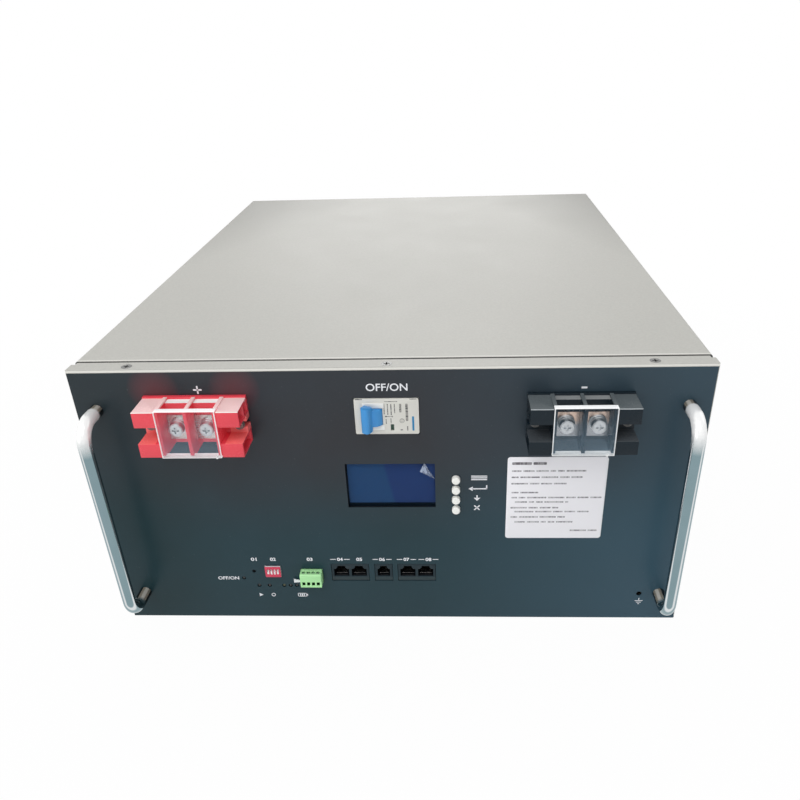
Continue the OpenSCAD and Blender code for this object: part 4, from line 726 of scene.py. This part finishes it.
# %% Hand the finishes out
menu_keys = ["menu_button_%d" % number for number in (1, 2, 3, 4)]
finish_of = {
    case_paint: ["base_tray", "rear_panel"],
    cover_paint: ["top_cover"],
    front_paint: ["front_panel"],
    frame_paint: ["front_frame"],
    front_print: ["front_fascia"],
    shaded_sunk_screws: ["panel_screws", "block_screws"],
    bright_screws: ["case_screws", "handle_screws", "plug_screws", "terminal_bolts", "board_spacers"],
    handle_chrome: ["handle_left", "handle_right"],
    breaker_case: ["breaker_body"],
    toggle_blue: ["breaker_toggle"],
    clamp_zinc: ["breaker_clamps"],
    zinc_sheet: ["din_rail", "breaker_bracket", "bms_bracket"],
    board_green: ["display_board", "comms_board", "bms_board"],
    black_plastic: ["display_module", "key_switches"],
    hole_black: ["reset_button"],
    jack_black: ["jack_pairs", "jack_single"],
    display_blue: ["display_glass"],
    button_ivory: menu_keys,
    contact_gold: ["jack_contacts"],
    switch_red: ["dip_switch"],
    slider_white: ["dip_slider_%d" % number for number in (1, 2, 3, 4)],
    plug_green: ["plug_header", "wire_plug"],
    lamp_lens: ["status_lamps"],
    block_red: ["positive_block"],
    block_black: ["negative_block"],
    plate_tin: ["positive_plate"],
    plate_copper: ["negative_plate"],
    clear_cover: covers,
    earth_brass: ["earth_insert"],
    label_white: ["spec_label"],
    cell_blue: ["cells"],
    aluminium: ["cell_posts", "bms_heatsink"],
    copper: ["cell_links"],
    insulation: ["cell_boards"],
    foam: ["foam_pads"],
    cable_black: ["power_cables"],
    ribbon_grey: ["signal_ribbons"],
}
for finish, names in finish_of.items():
    for name in names:
        paint(nodes[name], finish)
print("solids with a finish:", sum(len(names) for names in finish_of.values()))

# %% [markdown]
# ## The contact flag
# The flag behind the breaker's window is green at one end and red at the other, so that it changes
# colour as the toggle moves it along.

# %% Two-colour flag
flag_paint = Finish("flag_paint", Metallic=0.0)
flag_middle = middle("breaker_flag").x
x, y, z = flag_paint.axes()
speckle = flag_paint.noise(900, 2)
green_end = flag_paint.mix(speckle, (0.018, 0.060, 0.040), (0.026, 0.080, 0.055))
flag_paint.set(Base_Color=flag_paint.mix(x < flag_middle, green_end, (0.55, 0.03, 0.03)),
    Roughness=0.4 + 0.1 * speckle)
paint(nodes["breaker_flag"], flag_paint)
print("the flag changes colour at x =", round(flag_middle / mm, 2), "mm")

# %% [markdown]
# ## Rounded edges for the mouldings
# No moulding or pressing has a knife edge, and a small round edge is what catches the light in a
# picture. A copy of each solid has its doubles merged and its flat faces cleaned, and a Bevel
# modifier rounds what is sharp. The copy then stands for the solid.

# %% Make a rounded copy
def start_edit(select="SELECT"):
    """Edit the active piece with all of it selected, or nothing."""
    bpy.ops.object.mode_set(mode="EDIT")
    bpy.ops.mesh.select_all(action=select)


def leave_edit():
    bpy.ops.object.mode_set(mode="OBJECT")


def round_edges(piece, width, steps=2, sharp=40):
    """Round each edge that turns by more than an angle in degrees, and shade the rest smooth."""
    bevel = piece.modifiers.new("edges", "BEVEL")
    bevel.width, bevel.segments = width, steps
    bevel.limit_method, bevel.angle_limit = "ANGLE", math.radians(sharp)
    bevel.harden_normals = False
    apply_modifiers(piece)
    bpy.ops.object.shade_smooth_by_angle(angle=math.radians(32))
    return piece


def rounded(node, body, width, finish, slot, **how):
    source = nodes[node]
    piece = source.copy()
    piece.data = source.data.copy()
    piece.parent = None
    piece.matrix_world = Matrix.Identity(4)
    bpy.context.scene.collection.objects.link(piece)
    piece.name = node + "_dressed"
    piece.data.name = piece.name
    select_only(piece)
    bpy.ops.mesh.customdata_custom_splitnormals_clear()
    start_edit()
    bpy.ops.mesh.remove_doubles(threshold=0.000004)
    bpy.ops.mesh.dissolve_limited(angle_limit=math.radians(1.5))
    leave_edit()
    round_edges(piece, width, **how)
    paint(piece, finish)
    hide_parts(node)
    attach(piece, body)
    print(piece.name, len(piece.data.polygons), "faces")


rounded_parts = [
    ("positive_block", "case", 0.35, block_red, "block_red"),
    ("negative_block", "case", 0.35, block_black, "block_black"),
    ("positive_cover", "positive_shield", 0.5, clear_cover, "clear_cover"),
    ("negative_cover", "negative_shield", 0.5, clear_cover, "clear_cover"),
    ("breaker_body", "case", 0.35, breaker_case, "breaker_case"),
    ("breaker_toggle", "toggle", 0.3, toggle_blue, "toggle_blue"),
    ("wire_plug", "wire_plug", 0.15, plug_green, "plug_green"),
    ("dip_switch", "case", 0.12, switch_red, "switch_red"),
    ("jack_pairs", "case", 0.15, jack_black, "black_plastic"),
    ("jack_single", "case", 0.15, jack_black, "black_plastic"),
    ("spec_label", "case", 0.04, label_white, "label_white"),
    ("handle_left", "case", 0.2, handle_chrome, "handle_chrome"),
    ("handle_right", "case", 0.2, handle_chrome, "handle_chrome"),
    ("terminal_bolts", "case", 0.25, bright_screws, "bright_screws"),
]
for node, body, width, finish, slot in rounded_parts:
    rounded(node, body, width * mm, finish, slot)

# %% Glowing white edges on the clear covers, a painted highlight
level, cut_depth = 0.85, 0.4 * mm
for node in covers:
    piece = bpy.data.objects[node + "_dressed"]
    piece.data.materials.append(glowing_cover_edge.material)
    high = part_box(node)[1]
    glowing = 0
    for face in piece.data.polygons:
        lip_face = face.normal.z < -level and face.center.z < high[2] - cut_depth
        wide_face = abs(face.normal.y) > level and face.center.y < high[1] - cut_depth
        if not (lip_face or wide_face):
            face.material_index = 1
            glowing += 1
    print(piece.name, "has", glowing, "milky faces")

# %% Rounded menu keys
for key, body in zip(menu_keys, ("menu_key", "enter_key", "down_key", "escape_key")):
    rounded(key, body, 0.5 * mm, button_ivory, "button_ivory", steps=3, sharp=30)

# %% [markdown]
# ## Prints on the front
# The prints are a thin film of ink. Each stroke could be a picture on the sheet, but then it would
# blur close up. Here it is a flat shape with round corners, extruded by 0.05 mm. Words are kept to
# plus, minus and OFF/ON. The keys get plain signs for menu, return, down and close, the lamps get
# signs for run, alarm and charge, and the ports get plain numbers.

# %% Give a flat shape its thickness
ink_t = 0.05 * mm
upright = math.radians(90)


def thicken(piece, thick=ink_t):
    select_only(piece)
    start_edit()
    bpy.ops.mesh.extrude_region_move(TRANSFORM_OT_translate={"value": (0, -thick, 0)})
    bpy.ops.mesh.select_all(action="SELECT")
    bpy.ops.mesh.normals_make_consistent(inside=False)
    leave_edit()
    return piece


print("ink lies at y =", round(front_y / mm, 2), "mm")

# %% Strokes
def bar(x, z, width, height, y=front_y, turned=0.0, thick=ink_t, corner=0.22):
    """A stroke with round corners on a plane that faces the front, placed in millimetres."""
    bpy.ops.mesh.primitive_plane_add(size=1, location=(x * mm, y, z * mm),
        rotation=(upright, math.radians(turned), 0))
    piece = bpy.context.object
    piece.scale = (width * mm, height * mm, 1)
    settle(piece)
    start_edit()
    bpy.ops.mesh.bevel(offset=corner * min(width, height) * mm, segments=2, affect="VERTICES")
    leave_edit()
    return thicken(piece, thick)


trial = bar(0, 0, 2, 1)
print("a stroke has", len(trial.data.polygons), "faces")
bpy.data.objects.remove(trial)

# %% Rings and arrow heads
def ring(x, z, outer, width, y=front_y):
    """A disc whose middle is inset and taken out."""
    bpy.ops.mesh.primitive_circle_add(vertices=32, radius=outer * mm, fill_type="NGON",
        location=(x * mm, y, z * mm), rotation=(upright, 0, 0))
    piece = settle(bpy.context.object)
    start_edit()
    bpy.ops.mesh.inset(thickness=width * mm)
    bpy.ops.mesh.delete(type="FACE")
    leave_edit()
    return thicken(piece)


def arrow_head(x, z, width, height, turned):
    """A triangle that points up, turned clockwise by some degrees."""
    bpy.ops.mesh.primitive_circle_add(vertices=3, radius=1, fill_type="NGON",
        location=(x * mm, front_y, z * mm), rotation=(upright, math.radians(turned), 0))
    piece = bpy.context.object
    piece.scale = (width * mm / math.sqrt(3), height * mm / 1.5, 1)
    return thicken(settle(piece))


print("rings and arrow heads are ready")

# %% Letters and numbers
def words(text, x, z, width, height, bold=0.0):
    """Plain letters or numbers, scaled to a width and height in millimetres, centred on x and z."""
    bpy.ops.object.text_add()
    piece = bpy.context.object
    piece.data.body = text
    piece.data.resolution_u = 4
    piece.data.extrude = 0.5
    piece.data.offset = bold
    bpy.ops.object.convert(target="MESH")
    piece = bpy.context.object
    bpy.ops.object.origin_set(type="ORIGIN_GEOMETRY", center="BOUNDS")
    size = piece.dimensions.copy()
    piece.location = (x * mm, front_y - ink_t / 2, z * mm)
    piece.rotation_euler = (upright, 0, 0)
    piece.scale = (width * mm / size.x, height * mm / size.y, ink_t / size.z)
    return settle(piece)


print("letters are ready")

# %% Plus, minus and the two OFF/ON
plus_x, plus_z = -130.5, 207.4
minus_x, minus_z = 133.1, 206.4
prints = [
    bar(plus_x, plus_z, 6.0, 1.1), bar(plus_x, plus_z, 1.1, 6.0),
    bar(minus_x, minus_z, 4.0, 1.4),
    words("OFF/ON", -0.1, 208.0, 28.5, 5.6, bold=0.012),
    words("OFF/ON", -134.7, 41.4, 16.8, 3.2, bold=0.02),
]
print("signs so far:", len(prints))

# %% Signs beside the keys
sign_x = 62.0
menu_z, return_z, down_z, close_z = [middle(key).z / mm + 1.0 for key in menu_keys]
prints += [bar(sign_x + 1.4, menu_z + step, 11.6, 0.8) for step in (-1.5, 0, 1.5)]
prints += [bar(sign_x + 1.8, return_z - 0.7, 11.0, 0.9), bar(sign_x + 6.9, return_z + 0.7, 0.9, 3.2),
    arrow_head(sign_x - 4.2, return_z - 0.7, 3.8, 3.0, -90)]
prints += [bar(sign_x, down_z + 1.0, 0.9, 2.8), arrow_head(sign_x, down_z - 0.8, 4.8, 2.6, 180)]
prints += [bar(sign_x, close_z, 5.6, 0.9, turned=turned) for turned in (45, -45)]
print("with the keys:", len(prints))

# %% Port numbers, lamp signs and the earth sign
# where each number stands, and the width that it fills together with its dashes
port_signs = [(-111.9, 8.2), (-96.8, 9.0), (-67.8, 8.6), (-44.0, 15.4), (-28.9, 9.4),
    (-11.1, 14.8), (7.9, 15.0), (25.0, 15.4)]
number_z, digits_w, digits_gap = 60.2, 4.6, 0.9
for number, (x, width) in enumerate(port_signs, 1):
    prints.append(words("%02d" % number, x, number_z, digits_w, 3.2, bold=0.03))
    dash = (width - digits_w) / 2 - digits_gap
    if dash > 2:
        prints += [bar(x + side * (width - dash) / 2, number_z, dash, 0.6) for side in (-1, 1)]
sign_z, run_x, alarm_ring_x, cell_x = 24.2, -111.0, -100.6, -77.2
prints += [arrow_head(run_x, sign_z, 3.4, 3.0, 90), ring(alarm_ring_x, sign_z, 1.7, 0.55)]
prints += [bar(cell_x, sign_z + step, 7.0, 0.6) for step in (-1.5, 1.5)]
prints += [bar(cell_x + step, sign_z, 0.6, 3.6) for step in (-3.3, 3.3)]
prints += [bar(cell_x + 4.0, sign_z, 0.9, 1.6)]
prints += [bar(cell_x + step, sign_z, 0.9, 1.9) for step in (-1.5, 0, 1.5)]
earth_x, earth_z = 190.4, 18.6
prints += [bar(earth_x, earth_z + 1.9, 0.6, 2.8)]
prints += [bar(earth_x, earth_z + 0.6 - 1.6 * step, 6.2 - 2.4 * step, 0.6) for step in range(3)]
front_signs = join(prints, "front_signs")
paint(front_signs, white_ink)
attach(front_signs, "case")
print("front signs:", len(front_signs.data.polygons), "faces")

# %% [markdown]
# ## The label's rows
# The label is a white film with rows of small print. The rows here are plain strokes with no letters
# in them, cut into lengths as words are, and their ink breaks up along the row.

# %% Rows of strokes
small_ink_t = 0.02 * mm
word_lengths = (8, 12, 5, 9, 7, 14, 4)


def row_of_strokes(drop, start, length, height):
    """Strokes that begin at start from the label's left edge, at drop from its top, in millimetres."""
    strokes, at, turn = [], 0.0, int(drop)
    while length - at > 2:
        word = min(word_lengths[turn % len(word_lengths)], length - at)
        strokes.append(bar(label_low.x + start + at + word / 2, label_high.z - drop, word, height,
            y=label_low.y * mm, thick=small_ink_t))
        at += word + 1.2
        turn += 3
    return strokes


def on_label(strokes, name, ink):
    piece = join(strokes, name)
    paint(piece, ink)
    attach(piece, "case")
    print(name, len(strokes), "strokes")


on_label(row_of_strokes(5.3, 3.2, 24.6, 2.2), "label_heading", heading_ink)
rows = [(11.6, 3.2, 55.4), (16.9, 3.2, 51), (22.4, 3.2, 40.5), (30.1, 3.6, 19.4), (34.5, 3.6, 65.2),
    (38.4, 6.2, 39), (43.5, 3.2, 35), (47.0, 6.3, 54.4), (51.8, 3.5, 40), (56.3, 6.5, 43), (64.1, 48, 20)]
on_label([stroke for drop, start, length in rows for stroke in row_of_strokes(drop, start, length, 1.25)],
    "label_rows", row_ink)

# %% [markdown]
# ## Marks on the breaker
# The breaker's face carries a blue bar, small grey rows, a ring and the sign of a switch contact.

# %% Breaker marks
nose_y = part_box("breaker_body")[0][1]
blue_bar = bar(17.2, 180.2, 1.4, 11.2, y=nose_y)
blue_bar.name = "breaker_blue_bar"
paint(blue_bar, blue_ink)
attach(blue_bar, "case")
dial_x, dial_z, contact_z = 9.5, 182.4, 185.8
marks = [ring(dial_x, dial_z, 1.7, 0.3, y=nose_y), ring(dial_x, dial_z, 0.9, 0.25, y=nose_y)]
# the place, lower end, upper end and width of each upright row
columns = [(-2.6, 187.6, 195.6, 0.7), (-0.2, 187.0, 195.6, 0.7), (2.2, 187.0, 195.6, 0.7),
    (4.6, 188.4, 195.6, 0.7), (8.6, 189.0, 195.6, 1.5), (13.0, 182.2, 195.6, 1.7), (-1.6, 180.0, 184.0, 0.5),
    (1.8, 180.4, 184.4, 0.6), (13.2, 174.6, 178.0, 0.9), (9.0, 174.8, 175.8, 1.6)]
marks += [bar(x, (low + high) / 2, width, high - low, y=nose_y, thick=small_ink_t)
    for x, low, high, width in columns]
marks += [bar(x, contact_z, width, height, y=nose_y)
    for x, width, height in ((0.6, 4.2, 0.35), (-1.6, 1.1, 1.1), (2.8, 1.1, 1.1))]
marks += [bar(2.2, 197.4, 9.0, 0.5, y=nose_y)]
marks += [bar(x, 199.1, 5.0, 0.7, y=nose_y, thick=small_ink_t) for x in (-19.9, 17.6)]
breaker_marks = join(marks, "breaker_marks")
paint(breaker_marks, mark_ink)
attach(breaker_marks, "case")
print("breaker marks:", len(breaker_marks.data.polygons), "faces")

# %% [markdown]
# ## The cheeks beside the toggle
# The breaker's drum turns between two low cheeks that stand half a millimetre proud. Each starts as a
# flat plate whose corners are rounded, and its front edges are bevelled, so that they catch the light.

# %% Cheeks
drum = middle("breaker_toggle")
cheek_x, cheek_away = -10.2, 8.5
cheeks = [bar(cheek_x, drum.z / mm + side * cheek_away, 15.0, 4.0, y=nose_y, thick=0.5 * mm, corner=0.12)
    for side in (-1, 1)]
breaker_cheeks = join([round_edges(cheek, 0.25 * mm, sharp=60) for cheek in cheeks], "breaker_cheeks")
paint(breaker_cheeks, cheek_white)
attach(breaker_cheeks, "case")
print("cheeks around z =", round(drum.z / mm, 1), "mm")

# %% [markdown]
# ## Contacts in the sockets and a tag on the plug
# Each socket has a bright row of contact ends, which shows as a thin line low in the opening. A small
# white tag, folded round a wire entry on the real plug, sticks out on its left; here it is a flat strip
# pinched where it meets the plug.

# %% Contact rows
sockets = [(-43.65, 9.2), (-29.75, 9.2), (-10.35, 7.2), (8.65, 9.2), (22.55, 9.2)]
ends_y, ends_z = -272 * mm, 44.9
ends = [bar(x, ends_z, width, 0.42, y=ends_y, thick=0.3 * mm) for x, width in sockets]
contact_rows = join(ends, "contact_rows")
paint(contact_rows, plate_tin)
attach(contact_rows, "case")
print("contact rows:", len(sockets))

# %% Tag
def edit_chosen(piece, chosen):
    """Edit a piece with those of its vertices selected whose place in chosen is true."""
    start_edit("DESELECT")
    leave_edit()
    for vertex, wanted in zip(piece.data.vertices, chosen):
        vertex.select = wanted
    bpy.ops.object.mode_set(mode="EDIT")


plug_side, tag_y, tag_z, pinch_z = plug_low[0] / mm, -276.6, 40.2, 39.6
tag = bar(plug_side - 3.1, tag_z, 6.4, 3.4, y=tag_y * mm, thick=0.5 * mm, corner=0.1)
tag.name = "plug_tag"
edit_chosen(tag, [vertex.co.x > (plug_side - 1.0) * mm for vertex in tag.data.vertices])
bpy.ops.transform.resize(value=(1, 1, 0.4), center_override=(0, 0, pinch_z * mm))
leave_edit()
paint(tag, white_ink)
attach(tag, "wire_plug")
print("the tag is", round(tag.dimensions.x / mm, 1), "mm long")

# %% [markdown]
# ## The display's protective film
# The display still has its film on, and the upper right corner has come loose and curled over. Bend
# needs a window, so the curl is made by hand: the film is turned until the fold lies along X, cut in
# strips beyond the fold, and each strip is turned a little about its inner edge, from the outermost
# strip inwards. Then the film is turned back and gets its thickness.

# %% Film, cut in strips
centre = middle("display_glass")
glass_margin, film_gap, film_stand = 2 * mm, 0.2 * mm, 0.12 * mm
film_half = (glass_high - glass_low) / 2 - Vector((1, 1, 1)) * (glass_margin + film_gap)
film_y = glass_low.y - film_stand
fold_from = Vector((23.0 * mm, film_y, centre.z + film_half.z))
fold_to = Vector((centre.x + film_half.x, film_y, 131.3 * mm))
slope = math.atan2(fold_to.z - fold_from.z, fold_to.x - fold_from.x)
bpy.ops.mesh.primitive_plane_add(size=2, location=(centre.x, film_y, centre.z),
    rotation=(upright, 0, 0))
film = bpy.context.object
film.name = "display_film"
film.scale = (film_half.x, film_half.z, 1)
settle(film)
film.rotation_euler = (0, slope, 0)
settle(film)
fold_z = -fold_from.x * math.sin(slope) + fold_from.z * math.cos(slope)
loose = max(vertex.co.z for vertex in film.data.vertices) - fold_z
strips, turn_all, curled = 8, math.radians(145), 0.2
cuts = [fold_z + loose * curled * step / strips for step in range(strips)]
for cut in cuts:
    start_edit()
    bpy.ops.mesh.bisect(plane_co=(0, 0, cut), plane_no=(0, 0, 1))
    leave_edit()
print("the loose corner is", round(loose / mm, 1), "mm deep")

# %% Curl the corner
heights = [vertex.co.z for vertex in film.data.vertices]
for cut in reversed(cuts):
    edit_chosen(film, [height > cut + 0.01 * mm for height in heights])
    bpy.ops.transform.rotate(value=-turn_all / strips, orient_axis="X", center_override=(0, film_y, cut))
    leave_edit()
film.rotation_euler = (0, -slope, 0)
settle(film)
skin = film.modifiers.new("skin", "SOLIDIFY")
skin.thickness = 0.08 * mm
apply_modifiers(film)
bpy.ops.object.shade_smooth_by_angle(angle=math.radians(40))
paint(film, film_clear)
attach(film, "case")
print("the curl stands out to y =", round(min(v.co.y for v in film.data.vertices) / mm, 2), "mm")

# %% [markdown]
# ## How much the dressing adds
# The dressed pack's box is measured as the CAD model's box was, and the growth along each axis is printed.

# %% Size
visual_box = [list(corner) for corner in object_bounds()]
growth = [round((visual_box[1][i] - visual_box[0][i] - cad_box[1][i] + cad_box[0][i]) / mm, 2)
    for i in range(3)]
print("growth in mm:", growth)
